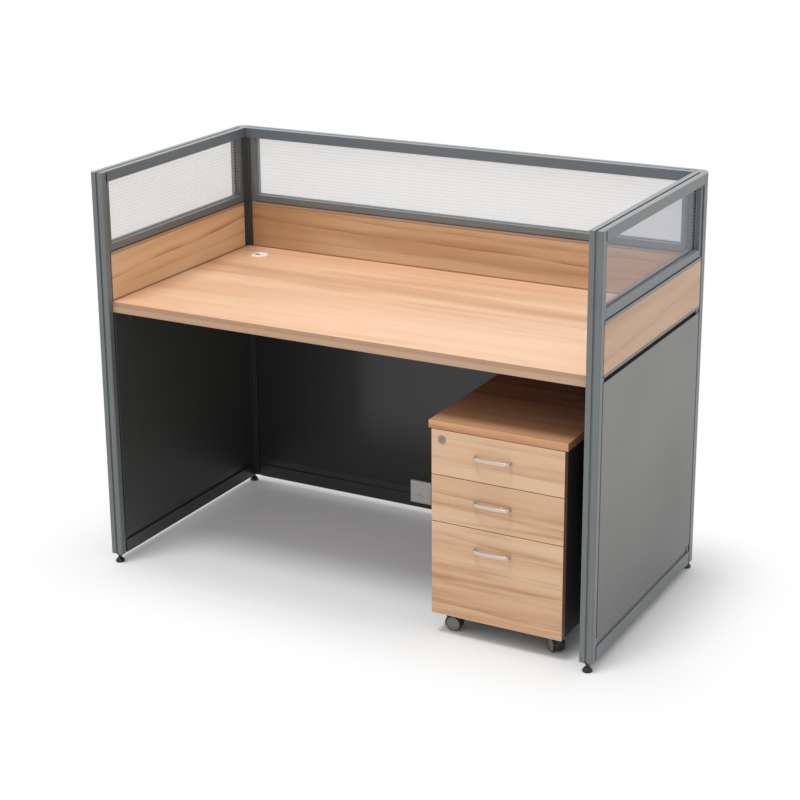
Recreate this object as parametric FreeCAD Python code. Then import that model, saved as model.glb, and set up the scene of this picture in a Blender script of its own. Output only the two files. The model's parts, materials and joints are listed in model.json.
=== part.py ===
import FreeCAD, Part
import math
import os

os.makedirs("parts", exist_ok=True)

# A single cubicle workstation: three framed screens round a desk, and a mobile
# pedestal under it. Lengths in millimetres, +X to the right, +Y to the back, +Z up.

# Whole workstation
station_width = 1430.0
station_depth = 720.0
station_height = 1100.0
panel_thickness = 36.0
frame_lift = 26.0

# Clearances: between fixed pieces, between pieces that pass each other, round a shaft
fit_gap = 0.2
running_gap = 0.4
shaft_gap = 0.05
cut_overrun = 2.0

# Rails of a screen, and the share of the height left above the desk that the glass takes
top_rail_height = 28.0
mid_rail_height = 28.0
slot_rail_height = 28.0
slot_rail_drop = 26.0
bottom_rail_height = 58.0
glass_share = 0.57534

# Frame extrusions
extrusion_wall = 1.6
stile_width = 26.0
core_recess = 5.0
flange_recess = 3.0
trim_depth = 18.0
trim_edge_radius = 3.0
groove_width = 6.0
groove_depth = 4.0
front_seam_width = 5.0
rear_seam_width = 4.0
post_arm = 12.0
post_outer_radius = 30.0
post_wall = 2.5
mid_strip_height = 7.0
mid_groove_height = 2.5
mid_groove_recess = 6.0
slot_strip_height = 5.5
slot_opening_height = 12.5
slot_opening_depth = 10.0
plinth_recess_height = 21.0
foot_plug_length = 24.0

# Glass and its rubber
glass_thickness = 5.0
glass_bite = 8.0
channel_width = 10.0
channel_depth = 12.0
gasket_lip = 1.5
gasket_slack = 0.1

# Boards clipped on the frame
tile_body = 9.0
tile_edge_chamfer = 0.8
tile_seam = 0.6

# Levelling feet
foot_pad_radius = 13.0
foot_pad_height = 7.0
foot_nut_width = 13.0
foot_nut_height = 5.0
foot_stud_radius = 4.0
foot_stud_reach = 34.0

# Desk
desk_height = 750.0
desk_thickness = 30.0
desk_set_back = 16.0
desk_side_gap = 0.5
desk_edge_radius = 2.0
bracket_leg = 40.0
bracket_thickness = 3.0
bracket_length = 70.0
bracket_inset = 110.0
gusset_share = 0.8
screw_width = 4.0
screw_head_width = 7.0
screw_head_height = 2.4
screw_bite = 8.0

# Cable grommet in the desk
grommet_x_inset = 91.0
grommet_y_inset = 83.0
grommet_hole_radius = 21.0
grommet_flange_radius = 24.5
grommet_flange_height = 2.0
grommet_wall = 2.0
grommet_depth = 24.0
grommet_cap_thickness = 3.0
grommet_notch_width = 10.0
grommet_notch_reach = 1.0

# Power outlet low on the back screen
socket_width = 68.0
socket_height = 68.0
socket_depth = 8.0
socket_bevel = 2.0
socket_left = 575.6
socket_base = 42.5
socket_face_inset = 7.0
socket_face_step = 1.0
pin_hole_radius = 1.9
pin_hole_spacing = 11.0
pin_hole_rise = 11.0
pin_slot_length = 7.0
pin_slot_width = 2.0
pin_slot_spacing = 8.0
pin_slot_drop = 10.0
pin_hole_depth = 5.0
pin_slot_tilt = 30.0

# Mobile pedestal
pedestal_height = 572.0
pedestal_depth = 500.0
pedestal_top_width = 370.0
pedestal_top_thickness = 20.0
pedestal_body_width = 355.0
pedestal_set_back = 22.0
pedestal_side_gap = 48.0
side_board = 16.0
back_board = 12.0
back_inset = 8.0
bottom_board = 16.0
castor_height = 60.0
front_board = 18.0
front_gap = 2.0
front_clearance = 2.0
front_drop = 2.5
board_edge_radius = 1.2

# Drawers, counted from the top
middle_front_height = 122.0
file_front_height = 249.0
top_box_height = 62.0
middle_box_height = 75.0
file_box_height = 180.0
box_rise = 12.0
file_box_rise = 24.0
box_depth = 440.0
box_wall = 12.0
box_bottom = 5.0
box_bottom_groove = 6.0
box_bottom_lift = 8.0
drawer_travel = 350.0

# Runners beside each drawer
runner_thickness = 12.7
runner_height = 35.0
runner_steel = 1.2
runner_lip = 3.0
runner_rise = 4.0
runner_front_gap = 4.0
runner_slack = 0.3

# Bow handles
handle_centres = 96.0
handle_projection = 22.0
handle_bar_height = 9.0
handle_bar_depth = 4.0
handle_foot_width = 6.0
handle_lean = 3.5
handle_crown = 4.0
handle_elbow_radius = 10.0
handle_crown_radius = 250.0
handle_drop = 54.0
handle_left_shift = 10.0

# Gang lock: cylinder in the top drawer, bar in the left side
lock_inset_x = 29.0
lock_inset_z = 26.0
lock_flange_radius = 10.0
lock_flange_height = 2.2
lock_body_radius = 8.5
lock_plug_radius = 6.0
lock_nut_width = 20.0
lock_nut_height = 3.0
key_slot_width = 1.6
key_slot_length = 7.0
key_slot_depth = 3.0
cam_radius = 8.0
cam_thickness = 2.0
cam_half_width = 3.5
cam_pin_radius = 2.0
cam_pin_length = 7.0
cam_pin_slack = 0.35
cam_start_angle = -45.0
bar_thickness = 2.5
bar_width = 16.0
bar_groove_gap = 0.3
bar_tab_reach = 13.5
bar_tab_half_height = 6.0
bar_from_cam = 2.0
hook_height = 10.0
hook_reach = 8.5
hook_below_peg = 2.0
hook_peg_gap = 1.0
peg_width = 6.0
peg_length = 9.0
peg_rise = 56.0
bar_tail = 5.0
bar_groove_spare = 4.0

# Twin-wheel castors
wheel_radius = 19.5
wheel_width = 12.0
wheel_web = 8.0
axle_radius = 3.0
axle_boss_share = 2.0
castor_trail = 14.0
hood_gap = 0.8
hood_wall = 2.4
hood_cover_share = 0.72
hood_start_angle = 20.0
hood_end_angle = 205.0
castor_collar_radius = 9.0
castor_stem_radius = 5.0
castor_stem_reach = 13.0
castor_inset_x = 28.0
castor_inset_y = 48.0
castor_turns = {"front_left": 4.0, "front_right": 138.0, "back_left": 150.0, "back_right": 65.0}

# Heights of the bands, from the floor
top_rail_base = station_height - top_rail_height
slot_rail_base = desk_height - slot_rail_drop
slot_rail_top = slot_rail_base + slot_rail_height
mid_rail_top = top_rail_base - (top_rail_base - slot_rail_top - mid_rail_height) * glass_share
mid_rail_base = mid_rail_top - mid_rail_height
bottom_rail_top = frame_lift + bottom_rail_height

# Half widths across a screen's thickness
face_half = panel_thickness / 2
flange_half = face_half - flange_recess
core_half = face_half - core_recess
channel_half = channel_width / 2
tile_face = face_half - fit_gap

front_y = -station_depth / 2
back_y = station_depth / 2
half_width = station_width / 2
inner_x = half_width - panel_thickness
inner_back_y = back_y - panel_thickness

shapes = {}


def vec(x, y, z):
    return FreeCAD.Vector(x, y, z)


X_AXIS = vec(1, 0, 0)
Y_AXIS = vec(0, 1, 0)
Z_AXIS = vec(0, 0, 1)


def block(x_range, y_range, z_range):
    low = vec(x_range[0], y_range[0], z_range[0])
    size = (x_range[1] - x_range[0], y_range[1] - y_range[0], z_range[1] - z_range[0])
    return Part.makeBox(*size, low)


def rod(radius, start, axis, length):
    return Part.makeCylinder(radius, length, start, axis)


def six_sided(flat_width, start, axis, length):
    # A hexagonal bar
    aside = Y_AXIS if abs(axis.x) > abs(axis.z) else X_AXIS
    radius = flat_width / 2 / math.cos(math.pi / 6)
    corners = []
    for index in range(6):
        corners.append(start + turned_vec(aside, axis, index * math.pi / 3) * radius)
    return Part.Face(Part.makePolygon(corners + corners[:1])).extrude(axis * length)


def turned_vec(direction, axis, angle):
    # A direction square to the axis, turned about it
    return direction * math.cos(angle) + axis.cross(direction) * math.sin(angle)


def rounded_wire(corners, to_point):
    # Each corner is (a, b) or (a, b, radius); to_point places (a, b) in space
    count = len(corners)
    starts = []
    ends = []
    arcs = []
    for index in range(count):
        corner = corners[index]
        here = to_point(corner[0], corner[1])
        radius = corner[2] if len(corner) > 2 else 0
        if radius <= 0:
            starts.append(here)
            ends.append(here)
            arcs.append(None)
            continue
        before = corners[index - 1]
        after = corners[(index + 1) % count]
        towards_before = (to_point(before[0], before[1]) - here).normalize()
        towards_after = (to_point(after[0], after[1]) - here).normalize()
        half_angle = towards_before.getAngle(towards_after) / 2
        reach = radius / math.tan(half_angle)
        middle = (towards_before + towards_after).normalize()
        depth = radius / math.sin(half_angle) - radius
        start = here + towards_before * reach
        end = here + towards_after * reach
        starts.append(start)
        ends.append(end)
        arcs.append(Part.Arc(start, here + middle * depth, end).toShape())
    edges = []
    for index in range(count):
        if arcs[index] is not None:
            edges.append(arcs[index])
        leave = ends[index]
        arrive = starts[(index + 1) % count]
        if (arrive - leave).Length > fit_gap / 100:
            edges.append(Part.makeLine(leave, arrive))
    return Part.Wire(edges)


def plan_prism(corners, z_range, holes=()):
    # An outline seen from above, raised from z_range[0] to z_range[1]
    base = z_range[0]

    def to_point(a, b):
        return vec(a, b, base)

    solid = Part.Face(rounded_wire(corners, to_point)).extrude(vec(0, 0, z_range[1] - base))
    for hole in holes:
        inner = Part.Face(rounded_wire(hole, to_point)).extrude(vec(0, 0, z_range[1] - base))
        solid = solid.cut(inner)
    return solid


def rail_prism(corners, x_range, holes=()):
    # A section across a rail, in (across, up), drawn out along X
    start = x_range[0]

    def to_point(a, b):
        return vec(start, a, b)

    run = vec(x_range[1] - start, 0, 0)
    solid = Part.Face(rounded_wire(corners, to_point)).extrude(run)
    for hole in holes:
        solid = solid.cut(Part.Face(rounded_wire(hole, to_point)).extrude(run))
    return solid


def rectangle(a_range, b_range, radius=0):
    return [
        (a_range[0], b_range[0], radius),
        (a_range[1], b_range[0], radius),
        (a_range[1], b_range[1], radius),
        (a_range[0], b_range[1], radius),
    ]


def mirrored(half_outline):
    # Doubles an outline listed from its lowest to its highest point on the + side
    other_side = [(-corner[0],) + tuple(corner[1:]) for corner in reversed(half_outline)]
    return half_outline + other_side


def turned(shape, centre, axis, angle):
    copy = shape.copy()
    copy.rotate(centre, axis, angle)
    return copy


def moved(shape, x, y, z):
    copy = shape.copy()
    copy.translate(vec(x, y, z))
    return copy


def fuse_all(pieces):
    whole = pieces[0]
    for piece in pieces[1:]:
        whole = whole.fuse(piece)
    return whole.removeSplitter()


def put(name, pieces):
    # A node is one solid or a group of separate solids
    solids = []
    for piece in pieces:
        solids.extend(piece.Solids)
    shapes[name] = solids[0] if len(solids) == 1 else Part.makeCompound(solids)


# Screens. A screen is made lying along X from zero, centred on Y, and then put in its place.

# Where the stiles, the opening and the covers lie along a side screen and along the back screen
front_stile_start = groove_depth + extrusion_wall + running_gap
side_run = station_depth - panel_thickness
side_post_start = side_run - post_arm
back_run = station_width - 2 * panel_thickness
side_screen = {
    "stiles": [(front_stile_start, 1), (side_run - post_wall - fit_gap, -1)],
    "seams": [trim_depth + front_seam_width, side_post_start - rear_seam_width],
    "top_rail": (trim_depth + fit_gap, side_run - fit_gap),
}
back_screen = {
    "stiles": [(post_wall + fit_gap, 1), (back_run - post_wall - fit_gap, -1)],
    "seams": [post_arm + rear_seam_width, back_run - post_arm - rear_seam_width],
    "top_rail": (fit_gap, back_run - fit_gap),
}
for screen in (side_screen, back_screen):
    first, last = screen["stiles"]
    screen["opening"] = (first[0] + stile_width, last[0] - stile_width)
    screen["cover"] = (screen["seams"][0] + tile_seam, screen["seams"][1] - tile_seam)
foot_place = front_stile_start + (stile_width - channel_depth) / 2


def stile(outer, direction, seam):
    # A hollow upright: a slim core, a flange that carries the boards, and a glazing channel
    def along(distance):
        return outer + direction * distance

    step = abs(seam - outer)
    floor = stile_width - channel_depth
    half_outline = [
        (0, 0),
        (core_half, 0),
        (core_half, step),
        (flange_half, step),
        (flange_half, stile_width),
        (channel_half, stile_width),
        (channel_half, floor),
    ]
    outline = [(along(b), a) for a, b in mirrored(half_outline)[1:-1]]
    main_half = core_half - extrusion_wall
    main_chamber = rectangle(
        (along(extrusion_wall), along(floor - extrusion_wall)),
        (-main_half, main_half),
    )
    holes = []
    for sign in (1, -1):
        holes.append(
            rectangle(
                (along(floor), along(stile_width - extrusion_wall)),
                (sign * (channel_half + extrusion_wall), sign * main_half),
            )
        )
    upright = plan_prism(outline, (frame_lift, top_rail_base - fit_gap), holes)
    hollow = plan_prism(main_chamber, (frame_lift + foot_plug_length, station_height))
    return upright.cut(hollow)


def band_with_covers(section, screen, holes=()):
    # A rail between the stiles whose face strips run on over the stile flanges
    opening = (screen["opening"][0] + fit_gap, screen["opening"][1] - fit_gap)
    core = rail_prism(section, opening, holes)
    full = rail_prism(section, screen["cover"])
    z_low = min(corner[1] for corner in section)
    z_high = max(corner[1] for corner in section)
    strip_half = flange_half + fit_gap
    inside = block(
        (screen["cover"][0] - cut_overrun, screen["cover"][1] + cut_overrun),
        (-strip_half, strip_half),
        (z_low - cut_overrun, z_high + cut_overrun),
    )
    strips = full.cut(inside)
    return fuse_all([core, strips])


def top_rail_outline():
    half_outline = [
        (face_half, top_rail_base),
        (face_half, station_height, trim_edge_radius / 2),
        (groove_width / 2, station_height),
        (groove_width / 2, station_height - groove_depth),
    ]
    return mirrored(half_outline)


def top_rail(screen, notched):
    # Grooved along its top, with a glazing channel below and hollow chambers each side
    chamber_low = top_rail_base + extrusion_wall
    chamber_high = station_height - groove_depth - 2 * extrusion_wall
    holes = [
        rectangle((-channel_half, channel_half), (top_rail_base - cut_overrun, top_rail_base + channel_depth)),
    ]
    for sign in (1, -1):
        inner = sign * (channel_half + extrusion_wall)
        outer = sign * (face_half - extrusion_wall)
        holes.append(rectangle((inner, outer), (chamber_low, chamber_high)))
    rail = rail_prism(top_rail_outline(), screen["top_rail"], holes)
    if notched:
        seam_end = screen["seams"][0]
        for sign in (1, -1):
            notch = block(
                (screen["top_rail"][0] - cut_overrun, seam_end),
                sorted((sign * core_half, sign * (face_half + cut_overrun))),
                (top_rail_base - cut_overrun, station_height - groove_depth),
            )
            rail = rail.cut(notch)
    return rail


def mid_rail(screen):
    # Carries the glass above and the wood boards below, with a shadow groove in each face
    groove_low = mid_rail_base + mid_strip_height
    groove_high = groove_low + mid_groove_height
    half_outline = [
        (face_half, mid_rail_base),
        (face_half, groove_low),
        (face_half - mid_groove_recess, groove_low),
        (face_half - mid_groove_recess, groove_high),
        (flange_half, groove_high),
        (flange_half, mid_rail_top),
        (channel_half, mid_rail_top),
        (channel_half, mid_rail_top - channel_depth),
    ]
    chamber = rectangle(
        (extrusion_wall - face_half + mid_groove_recess, face_half - mid_groove_recess - extrusion_wall),
        (mid_rail_base + extrusion_wall, mid_rail_top - channel_depth - extrusion_wall),
    )
    return band_with_covers(mirrored(half_outline), screen, [chamber])


def slot_rail(screen):
    # A deep slot runs along each face, above a ledge that the lower boards lap over
    slot_high = slot_rail_top - slot_strip_height
    slot_low = slot_high - slot_opening_height
    web_half = face_half - slot_opening_depth
    half_outline = [
        (flange_half, slot_rail_base),
        (flange_half, slot_low),
        (web_half, slot_low),
        (web_half, slot_high),
        (face_half, slot_high),
        (face_half, slot_rail_top),
    ]
    chamber = rectangle(
        (extrusion_wall - web_half, web_half - extrusion_wall),
        (slot_rail_base + extrusion_wall, slot_rail_top - extrusion_wall),
    )
    return band_with_covers(mirrored(half_outline), screen, [chamber])


def bottom_rail(screen):
    # A tall skirting with a drawn-in band along its upper edge
    recess_low = bottom_rail_top - plinth_recess_height
    half_outline = [
        (face_half, frame_lift, extrusion_wall / 2),
        (face_half, recess_low),
        (core_half, recess_low),
        (core_half, bottom_rail_top),
    ]
    wide = face_half - extrusion_wall
    slim = core_half - extrusion_wall
    chambers = [
        rectangle((-wide, wide), (frame_lift + extrusion_wall, recess_low - extrusion_wall)),
        rectangle((-slim, slim), (recess_low, bottom_rail_top - extrusion_wall)),
    ]
    return band_with_covers(mirrored(half_outline), screen, chambers)


def glass_pane(screen):
    half = glass_thickness / 2
    return block(
        (screen["opening"][0] - glass_bite, screen["opening"][1] + glass_bite),
        (-half, half),
        (mid_rail_top - glass_bite, top_rail_base + glass_bite),
    )


def gasket(screen):
    # One rubber channel round the glass, with a lip that shows inside the opening
    grip = channel_depth - fit_gap
    half = channel_half - fit_gap
    around = block(
        (screen["opening"][0] - grip, screen["opening"][1] + grip),
        (-half, half),
        (mid_rail_top - grip, top_rail_base + grip),
    )
    window = block(
        (screen["opening"][0] + gasket_lip, screen["opening"][1] - gasket_lip),
        (-channel_width, channel_width),
        (mid_rail_top + gasket_lip, top_rail_base - gasket_lip),
    )
    pane_half = glass_thickness / 2 + gasket_slack
    pane = block(
        (screen["opening"][0] - glass_bite - gasket_slack, screen["opening"][1] + glass_bite + gasket_slack),
        (-pane_half, pane_half),
        (mid_rail_top - glass_bite - gasket_slack, top_rail_base + glass_bite + gasket_slack),
    )
    return around.cut(window).cut(pane)


def board(screen, body_z, lap_z):
    # A rebated board: its body fills the opening and its thin edge laps over the frame
    lap_inner = flange_half + fit_gap
    body = block(
        (screen["opening"][0] + tile_seam, screen["opening"][1] - tile_seam),
        (tile_face - tile_body, tile_face),
        body_z,
    )
    lap = block(screen["cover"], (lap_inner, tile_face), lap_z)
    whole = fuse_all([body, lap])
    rim = [
        edge
        for edge in whole.Edges
        if all(abs(vertex.Point.y - tile_face) < fit_gap / 10 for vertex in edge.Vertexes)
    ]
    whole = whole.makeChamfer(tile_edge_chamfer, rim)
    return whole


def board_pair(screen, body_z, lap_z):
    outer = board(screen, body_z, lap_z)
    inner = outer.mirror(vec(0, 0, 0), Y_AXIS)
    return [outer, inner]


def place_screen(shape, side):
    # The side screens turn a quarter and run to the back from the front plane
    if side == "back":
        return moved(shape, panel_thickness - half_width, back_y - face_half, 0)
    sign = -1 if side == "left" else 1
    quarter = turned(shape, vec(0, 0, 0), Z_AXIS, 90)
    return moved(quarter, sign * (half_width - face_half), front_y, 0)


slot_low_z = slot_rail_top - slot_strip_height - slot_opening_height
wood_z = (slot_rail_top + tile_seam, mid_rail_base - tile_seam)
lower_body_z = (bottom_rail_top + tile_seam, slot_rail_base - tile_seam)
lower_lap_z = (lower_body_z[0], slot_low_z - fit_gap)
boards = {}
gaskets = []
for side, screen in (("left", side_screen), ("right", side_screen), ("back", back_screen)):
    stiles = []
    for (outer, direction), seam in zip(screen["stiles"], screen["seams"]):
        stiles.append(place_screen(stile(outer, direction, seam), side))
    if side != "back":
        bore = rod(foot_stud_radius + shaft_gap, vec(foot_place, 0, 0), Z_AXIS, frame_lift + foot_plug_length * 2)
        stiles[0] = stiles[0].cut(place_screen(bore, side))
    put(side + "_stiles", stiles)
    put(side + "_top_rail", [place_screen(top_rail(screen, side != "back"), side)])
    put(side + "_cross_rails", [place_screen(mid_rail(screen), side), place_screen(slot_rail(screen), side)])
    put(side + "_bottom_rail", [place_screen(bottom_rail(screen), side)])
    put(side + "_glass", [place_screen(glass_pane(screen), side)])
    gaskets.append(place_screen(gasket(screen), side))
    boards[side + "_wood_tiles"] = [place_screen(piece, side) for piece in board_pair(screen, wood_z, wood_z)]
    lower_pair = board_pair(screen, lower_body_z, lower_lap_z)
    boards[side + "_lower_tiles"] = [place_screen(piece, side) for piece in lower_pair]
put("glazing_gaskets", gaskets)


# Front end trims: grooved covers that clip over the front stiles, closed by a solid head
def end_trim():
    clip_half = core_half + fit_gap
    inner_half = face_half - extrusion_wall
    groove_half = groove_width / 2
    half_outline = [
        (groove_half, 0),
        (face_half, 0, trim_edge_radius),
        (face_half, trim_depth),
        (clip_half, trim_depth),
        (clip_half, trim_depth - extrusion_wall),
        (inner_half, trim_depth - extrusion_wall),
        (inner_half, extrusion_wall),
        (groove_half + extrusion_wall, extrusion_wall),
        (groove_half + extrusion_wall, groove_depth + extrusion_wall),
    ]
    back_of_groove = [(groove_half, groove_depth)]
    outline = half_outline + [(-a, b) + tuple(rest) for a, b, *rest in reversed(half_outline)]
    outline += [(-a, b) for a, b in back_of_groove] + back_of_groove
    outline = [(b, a) + tuple(rest) for a, b, *rest in outline]
    cover = plan_prism(outline, (frame_lift, station_height))
    head_plan = half_outline[:3] + [(-a, b) + tuple(rest) for a, b, *rest in reversed(half_outline[:3])]
    head_plan += [(-a, b) for a, b in back_of_groove] + back_of_groove
    head_plan = [(b, a) + tuple(rest) for a, b, *rest in head_plan]
    head = plan_prism(head_plan, (top_rail_base, station_height))
    head_side = rail_prism(top_rail_outline(), (0, trim_depth))
    crown = rail_prism(top_rail_outline(), (-cut_overrun, trim_depth + cut_overrun))
    tall = block(
        (-cut_overrun, trim_depth + cut_overrun),
        (-panel_thickness, panel_thickness),
        (0, top_rail_base),
    )
    return fuse_all([cover, head.common(head_side)]).common(fuse_all([crown, tall]))


put("end_trims", [place_screen(end_trim(), side) for side in ("left", "right")])


# Corner posts: an angle-shaped hollow post with a round outer corner, and a cap above it
def corner_post():
    # Made for the left corner: zero is the outside corner, X to the right, Y to the front
    arm = panel_thickness + post_arm
    outline = [
        (0, 0, post_outer_radius),
        (arm, 0),
        (arm, panel_thickness),
        (panel_thickness, panel_thickness),
        (panel_thickness, arm),
        (0, arm),
    ]
    low = post_wall
    high = panel_thickness - post_wall
    chamber = [
        (low, low, post_outer_radius - post_wall),
        (high, low),
        (high, high),
        (low, high),
    ]
    post = plan_prism(outline, (frame_lift, top_rail_base - fit_gap))
    post = post.cut(plan_prism(chamber, (frame_lift + foot_plug_length, station_height)))
    # The cores of the nearest stiles slide into a pocket in each arm
    slim = (core_recess - fit_gap, panel_thickness - core_recess + fit_gap)
    pocket = (panel_thickness + post_wall, arm + cut_overrun)
    for corners in (rectangle(pocket, slim), rectangle(slim, pocket)):
        post = post.cut(plan_prism(corners, (frame_lift - cut_overrun, station_height)))
    bore = rod(foot_stud_radius + shaft_gap, vec(face_half, face_half, 0), Z_AXIS, station_height / 2)
    return post.cut(bore)


def corner_cap():
    outline = [
        (0, 0, post_outer_radius),
        (panel_thickness - fit_gap, 0),
        (panel_thickness - fit_gap, panel_thickness - fit_gap),
        (0, panel_thickness - fit_gap),
    ]
    return plan_prism(outline, (top_rail_base, station_height))


def place_corner(shape, side):
    # The right corner is the mirror of the left one
    at_left = moved(shape.mirror(vec(0, 0, 0), Y_AXIS), -half_width, back_y, 0)
    if side == "left":
        return at_left
    return at_left.mirror(vec(0, 0, 0), X_AXIS)


for side in ("left", "right"):
    put(side + "_corner_post", [place_corner(corner_post(), side)])
put("corner_caps", [place_corner(corner_cap(), side) for side in ("left", "right")])


# Levelling feet: a round glide with a lock nut and a stud that screws up into the frame
def foot():
    nut_start = vec(0, 0, frame_lift - fit_gap - foot_nut_height)
    pad = rod(foot_pad_radius, vec(0, 0, 0), Z_AXIS, foot_pad_height)
    stud = rod(foot_stud_radius, vec(0, 0, 0), Z_AXIS, frame_lift + foot_stud_reach)
    return fuse_all([pad, stud, six_sided(foot_nut_width, nut_start, Z_AXIS, foot_nut_height)])


for side, sign in (("left", -1), ("right", 1)):
    across = sign * (half_width - face_half)
    put("foot_front_" + side, [moved(foot(), across, front_y + foot_place, 0)])
    put("foot_back_" + side, [moved(foot(), across, back_y - face_half, 0)])


# Desk top with its cable hole
desk_x = inner_x - desk_side_gap
desk_front = front_y + desk_set_back
desk_back = inner_back_y - desk_side_gap
desk_base = desk_height - desk_thickness
desk = block((-desk_x, desk_x), (desk_front, desk_back), (desk_base, desk_height))
front_edges = [
    edge
    for edge in desk.Edges
    if all(abs(vertex.Point.y - desk_front) < fit_gap for vertex in edge.Vertexes)
    and edge.BoundBox.XLength > desk_x
]
desk = desk.makeFillet(desk_edge_radius, front_edges)
grommet_x = grommet_x_inset - desk_x
grommet_y = desk_back - grommet_y_inset
grommet_low = vec(grommet_x, grommet_y, desk_base - cut_overrun)
desk = desk.cut(rod(grommet_hole_radius + fit_gap, grommet_low, Z_AXIS, desk_thickness + 2 * cut_overrun))

# Angle brackets under the desk, each with a gusset, a screw into the desk and one into the screen
brackets = []
screws = []


def bracket():
    # Made at the left screen: zero is the corner under the desk, X away from the screen
    leg = bracket_leg
    outline = [
        (0, -leg),
        (bracket_thickness, -leg),
        (bracket_thickness, -bracket_thickness),
        (leg, -bracket_thickness),
        (leg, 0),
        (0, 0),
    ]
    half = bracket_length / 2

    def to_point(a, b):
        return vec(a, -half, b)

    angle = Part.Face(rounded_wire(outline, to_point)).extrude(vec(0, bracket_length, 0))
    reach = leg * gusset_share
    web_half = bracket_thickness / 2

    def to_web(a, b):
        return vec(a, -web_half, b)

    web_corners = [
        (bracket_thickness / 2, -bracket_thickness / 2),
        (bracket_thickness / 2, -reach),
        (reach, -bracket_thickness / 2),
    ]
    web = Part.Face(rounded_wire(web_corners, to_web)).extrude(vec(0, bracket_thickness, 0))
    whole = fuse_all([angle, web])
    for start, axis in bracket_screw_places():
        back = start - axis * bracket_thickness * 2
        whole = whole.cut(six_sided(screw_width + 2 * shaft_gap, back, axis, bracket_thickness * 4))
    return whole


def bracket_screw_places():
    # Where each screw's head meets the steel, and the way it points
    middle = bracket_leg / 2
    aside = bracket_length / 4
    return [
        (vec(middle, aside, -bracket_thickness), Z_AXIS),
        (vec(bracket_thickness, -aside, -middle), X_AXIS * -1),
    ]


def screw(start, axis):
    # Six-sided from head to tip
    seat = start - axis * (fit_gap / 2)
    head = six_sided(screw_head_width, seat - axis * screw_head_height, axis, screw_head_height)
    shank = six_sided(screw_width, seat, axis, fit_gap / 2 + bracket_thickness + screw_bite)
    return fuse_all([head, shank])


def place_bracket(shape, x, y, turn):
    return moved(turned(shape, vec(0, 0, 0), Z_AXIS, turn), x, y, desk_base - fit_gap)


bracket_side_x = inner_x - fit_gap
bracket_back_y = inner_back_y - fit_gap
side_bracket_ys = (desk_front + bracket_inset, desk_back - bracket_inset)
back_bracket_xs = (-desk_x / 2, desk_x / 2)
bracket_places = [(-bracket_side_x, y, 0) for y in side_bracket_ys]
bracket_places += [(bracket_side_x, y, 180) for y in side_bracket_ys]
bracket_places += [(x, bracket_back_y, -90) for x in back_bracket_xs]
for x, y, turn in bracket_places:
    brackets.append(place_bracket(bracket(), x, y, turn))
    for start, axis in bracket_screw_places():
        screws.append(place_bracket(screw(start, axis), x, y, turn))
        hole_length = bracket_thickness + screw_bite + cut_overrun
        hole = six_sided(screw_width + 2 * shaft_gap, start, axis, hole_length)
        hole = place_bracket(hole, x, y, turn)
        desk = desk.cut(hole)
        for name in boards:
            boards[name] = [piece.cut(hole) for piece in boards[name]]
put("desk_top", [desk])
put("desk_brackets", brackets + screws)
for name in boards:
    put(name, boards[name])


# Grommet: a flanged sleeve pressed in the desk, and a cap with a notch for cables that turns in it
def revolved(profile, x, y, z):
    def to_point(a, b):
        return vec(a, 0, b)

    solid = Part.Face(rounded_wire(profile, to_point)).revolve(vec(0, 0, 0), Z_AXIS, 360)
    return moved(solid, x, y, z)


sleeve_inner = grommet_hole_radius - grommet_wall
seat_radius = sleeve_inner - grommet_wall
ring_profile = [
    (sleeve_inner, grommet_flange_height),
    (sleeve_inner, grommet_flange_height - grommet_cap_thickness - fit_gap),
    (seat_radius, grommet_flange_height - grommet_cap_thickness - fit_gap),
    (seat_radius, -grommet_depth),
    (grommet_hole_radius, -grommet_depth),
    (grommet_hole_radius, fit_gap / 2),
    (grommet_flange_radius, fit_gap / 2),
    (grommet_flange_radius, grommet_flange_height),
]
put("grommet_ring", [revolved(ring_profile, grommet_x, grommet_y, desk_height)])
cap_low = desk_height + grommet_flange_height - grommet_cap_thickness
cap_radius = sleeve_inner - fit_gap
cap = rod(cap_radius, vec(grommet_x, grommet_y, cap_low), Z_AXIS, grommet_cap_thickness)
notch_half = grommet_notch_width / 2
notch_outline = [
    (grommet_x - grommet_hole_radius, grommet_y - notch_half),
    (grommet_x + grommet_notch_reach, grommet_y - notch_half, notch_half * gusset_share),
    (grommet_x + grommet_notch_reach, grommet_y + notch_half, notch_half * gusset_share),
    (grommet_x - grommet_hole_radius, grommet_y + notch_half),
]
notch_z = (cap_low - cut_overrun, desk_height + grommet_flange_height + cut_overrun)
put("grommet_cap", [cap.cut(plan_prism(notch_outline, notch_z))])


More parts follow.
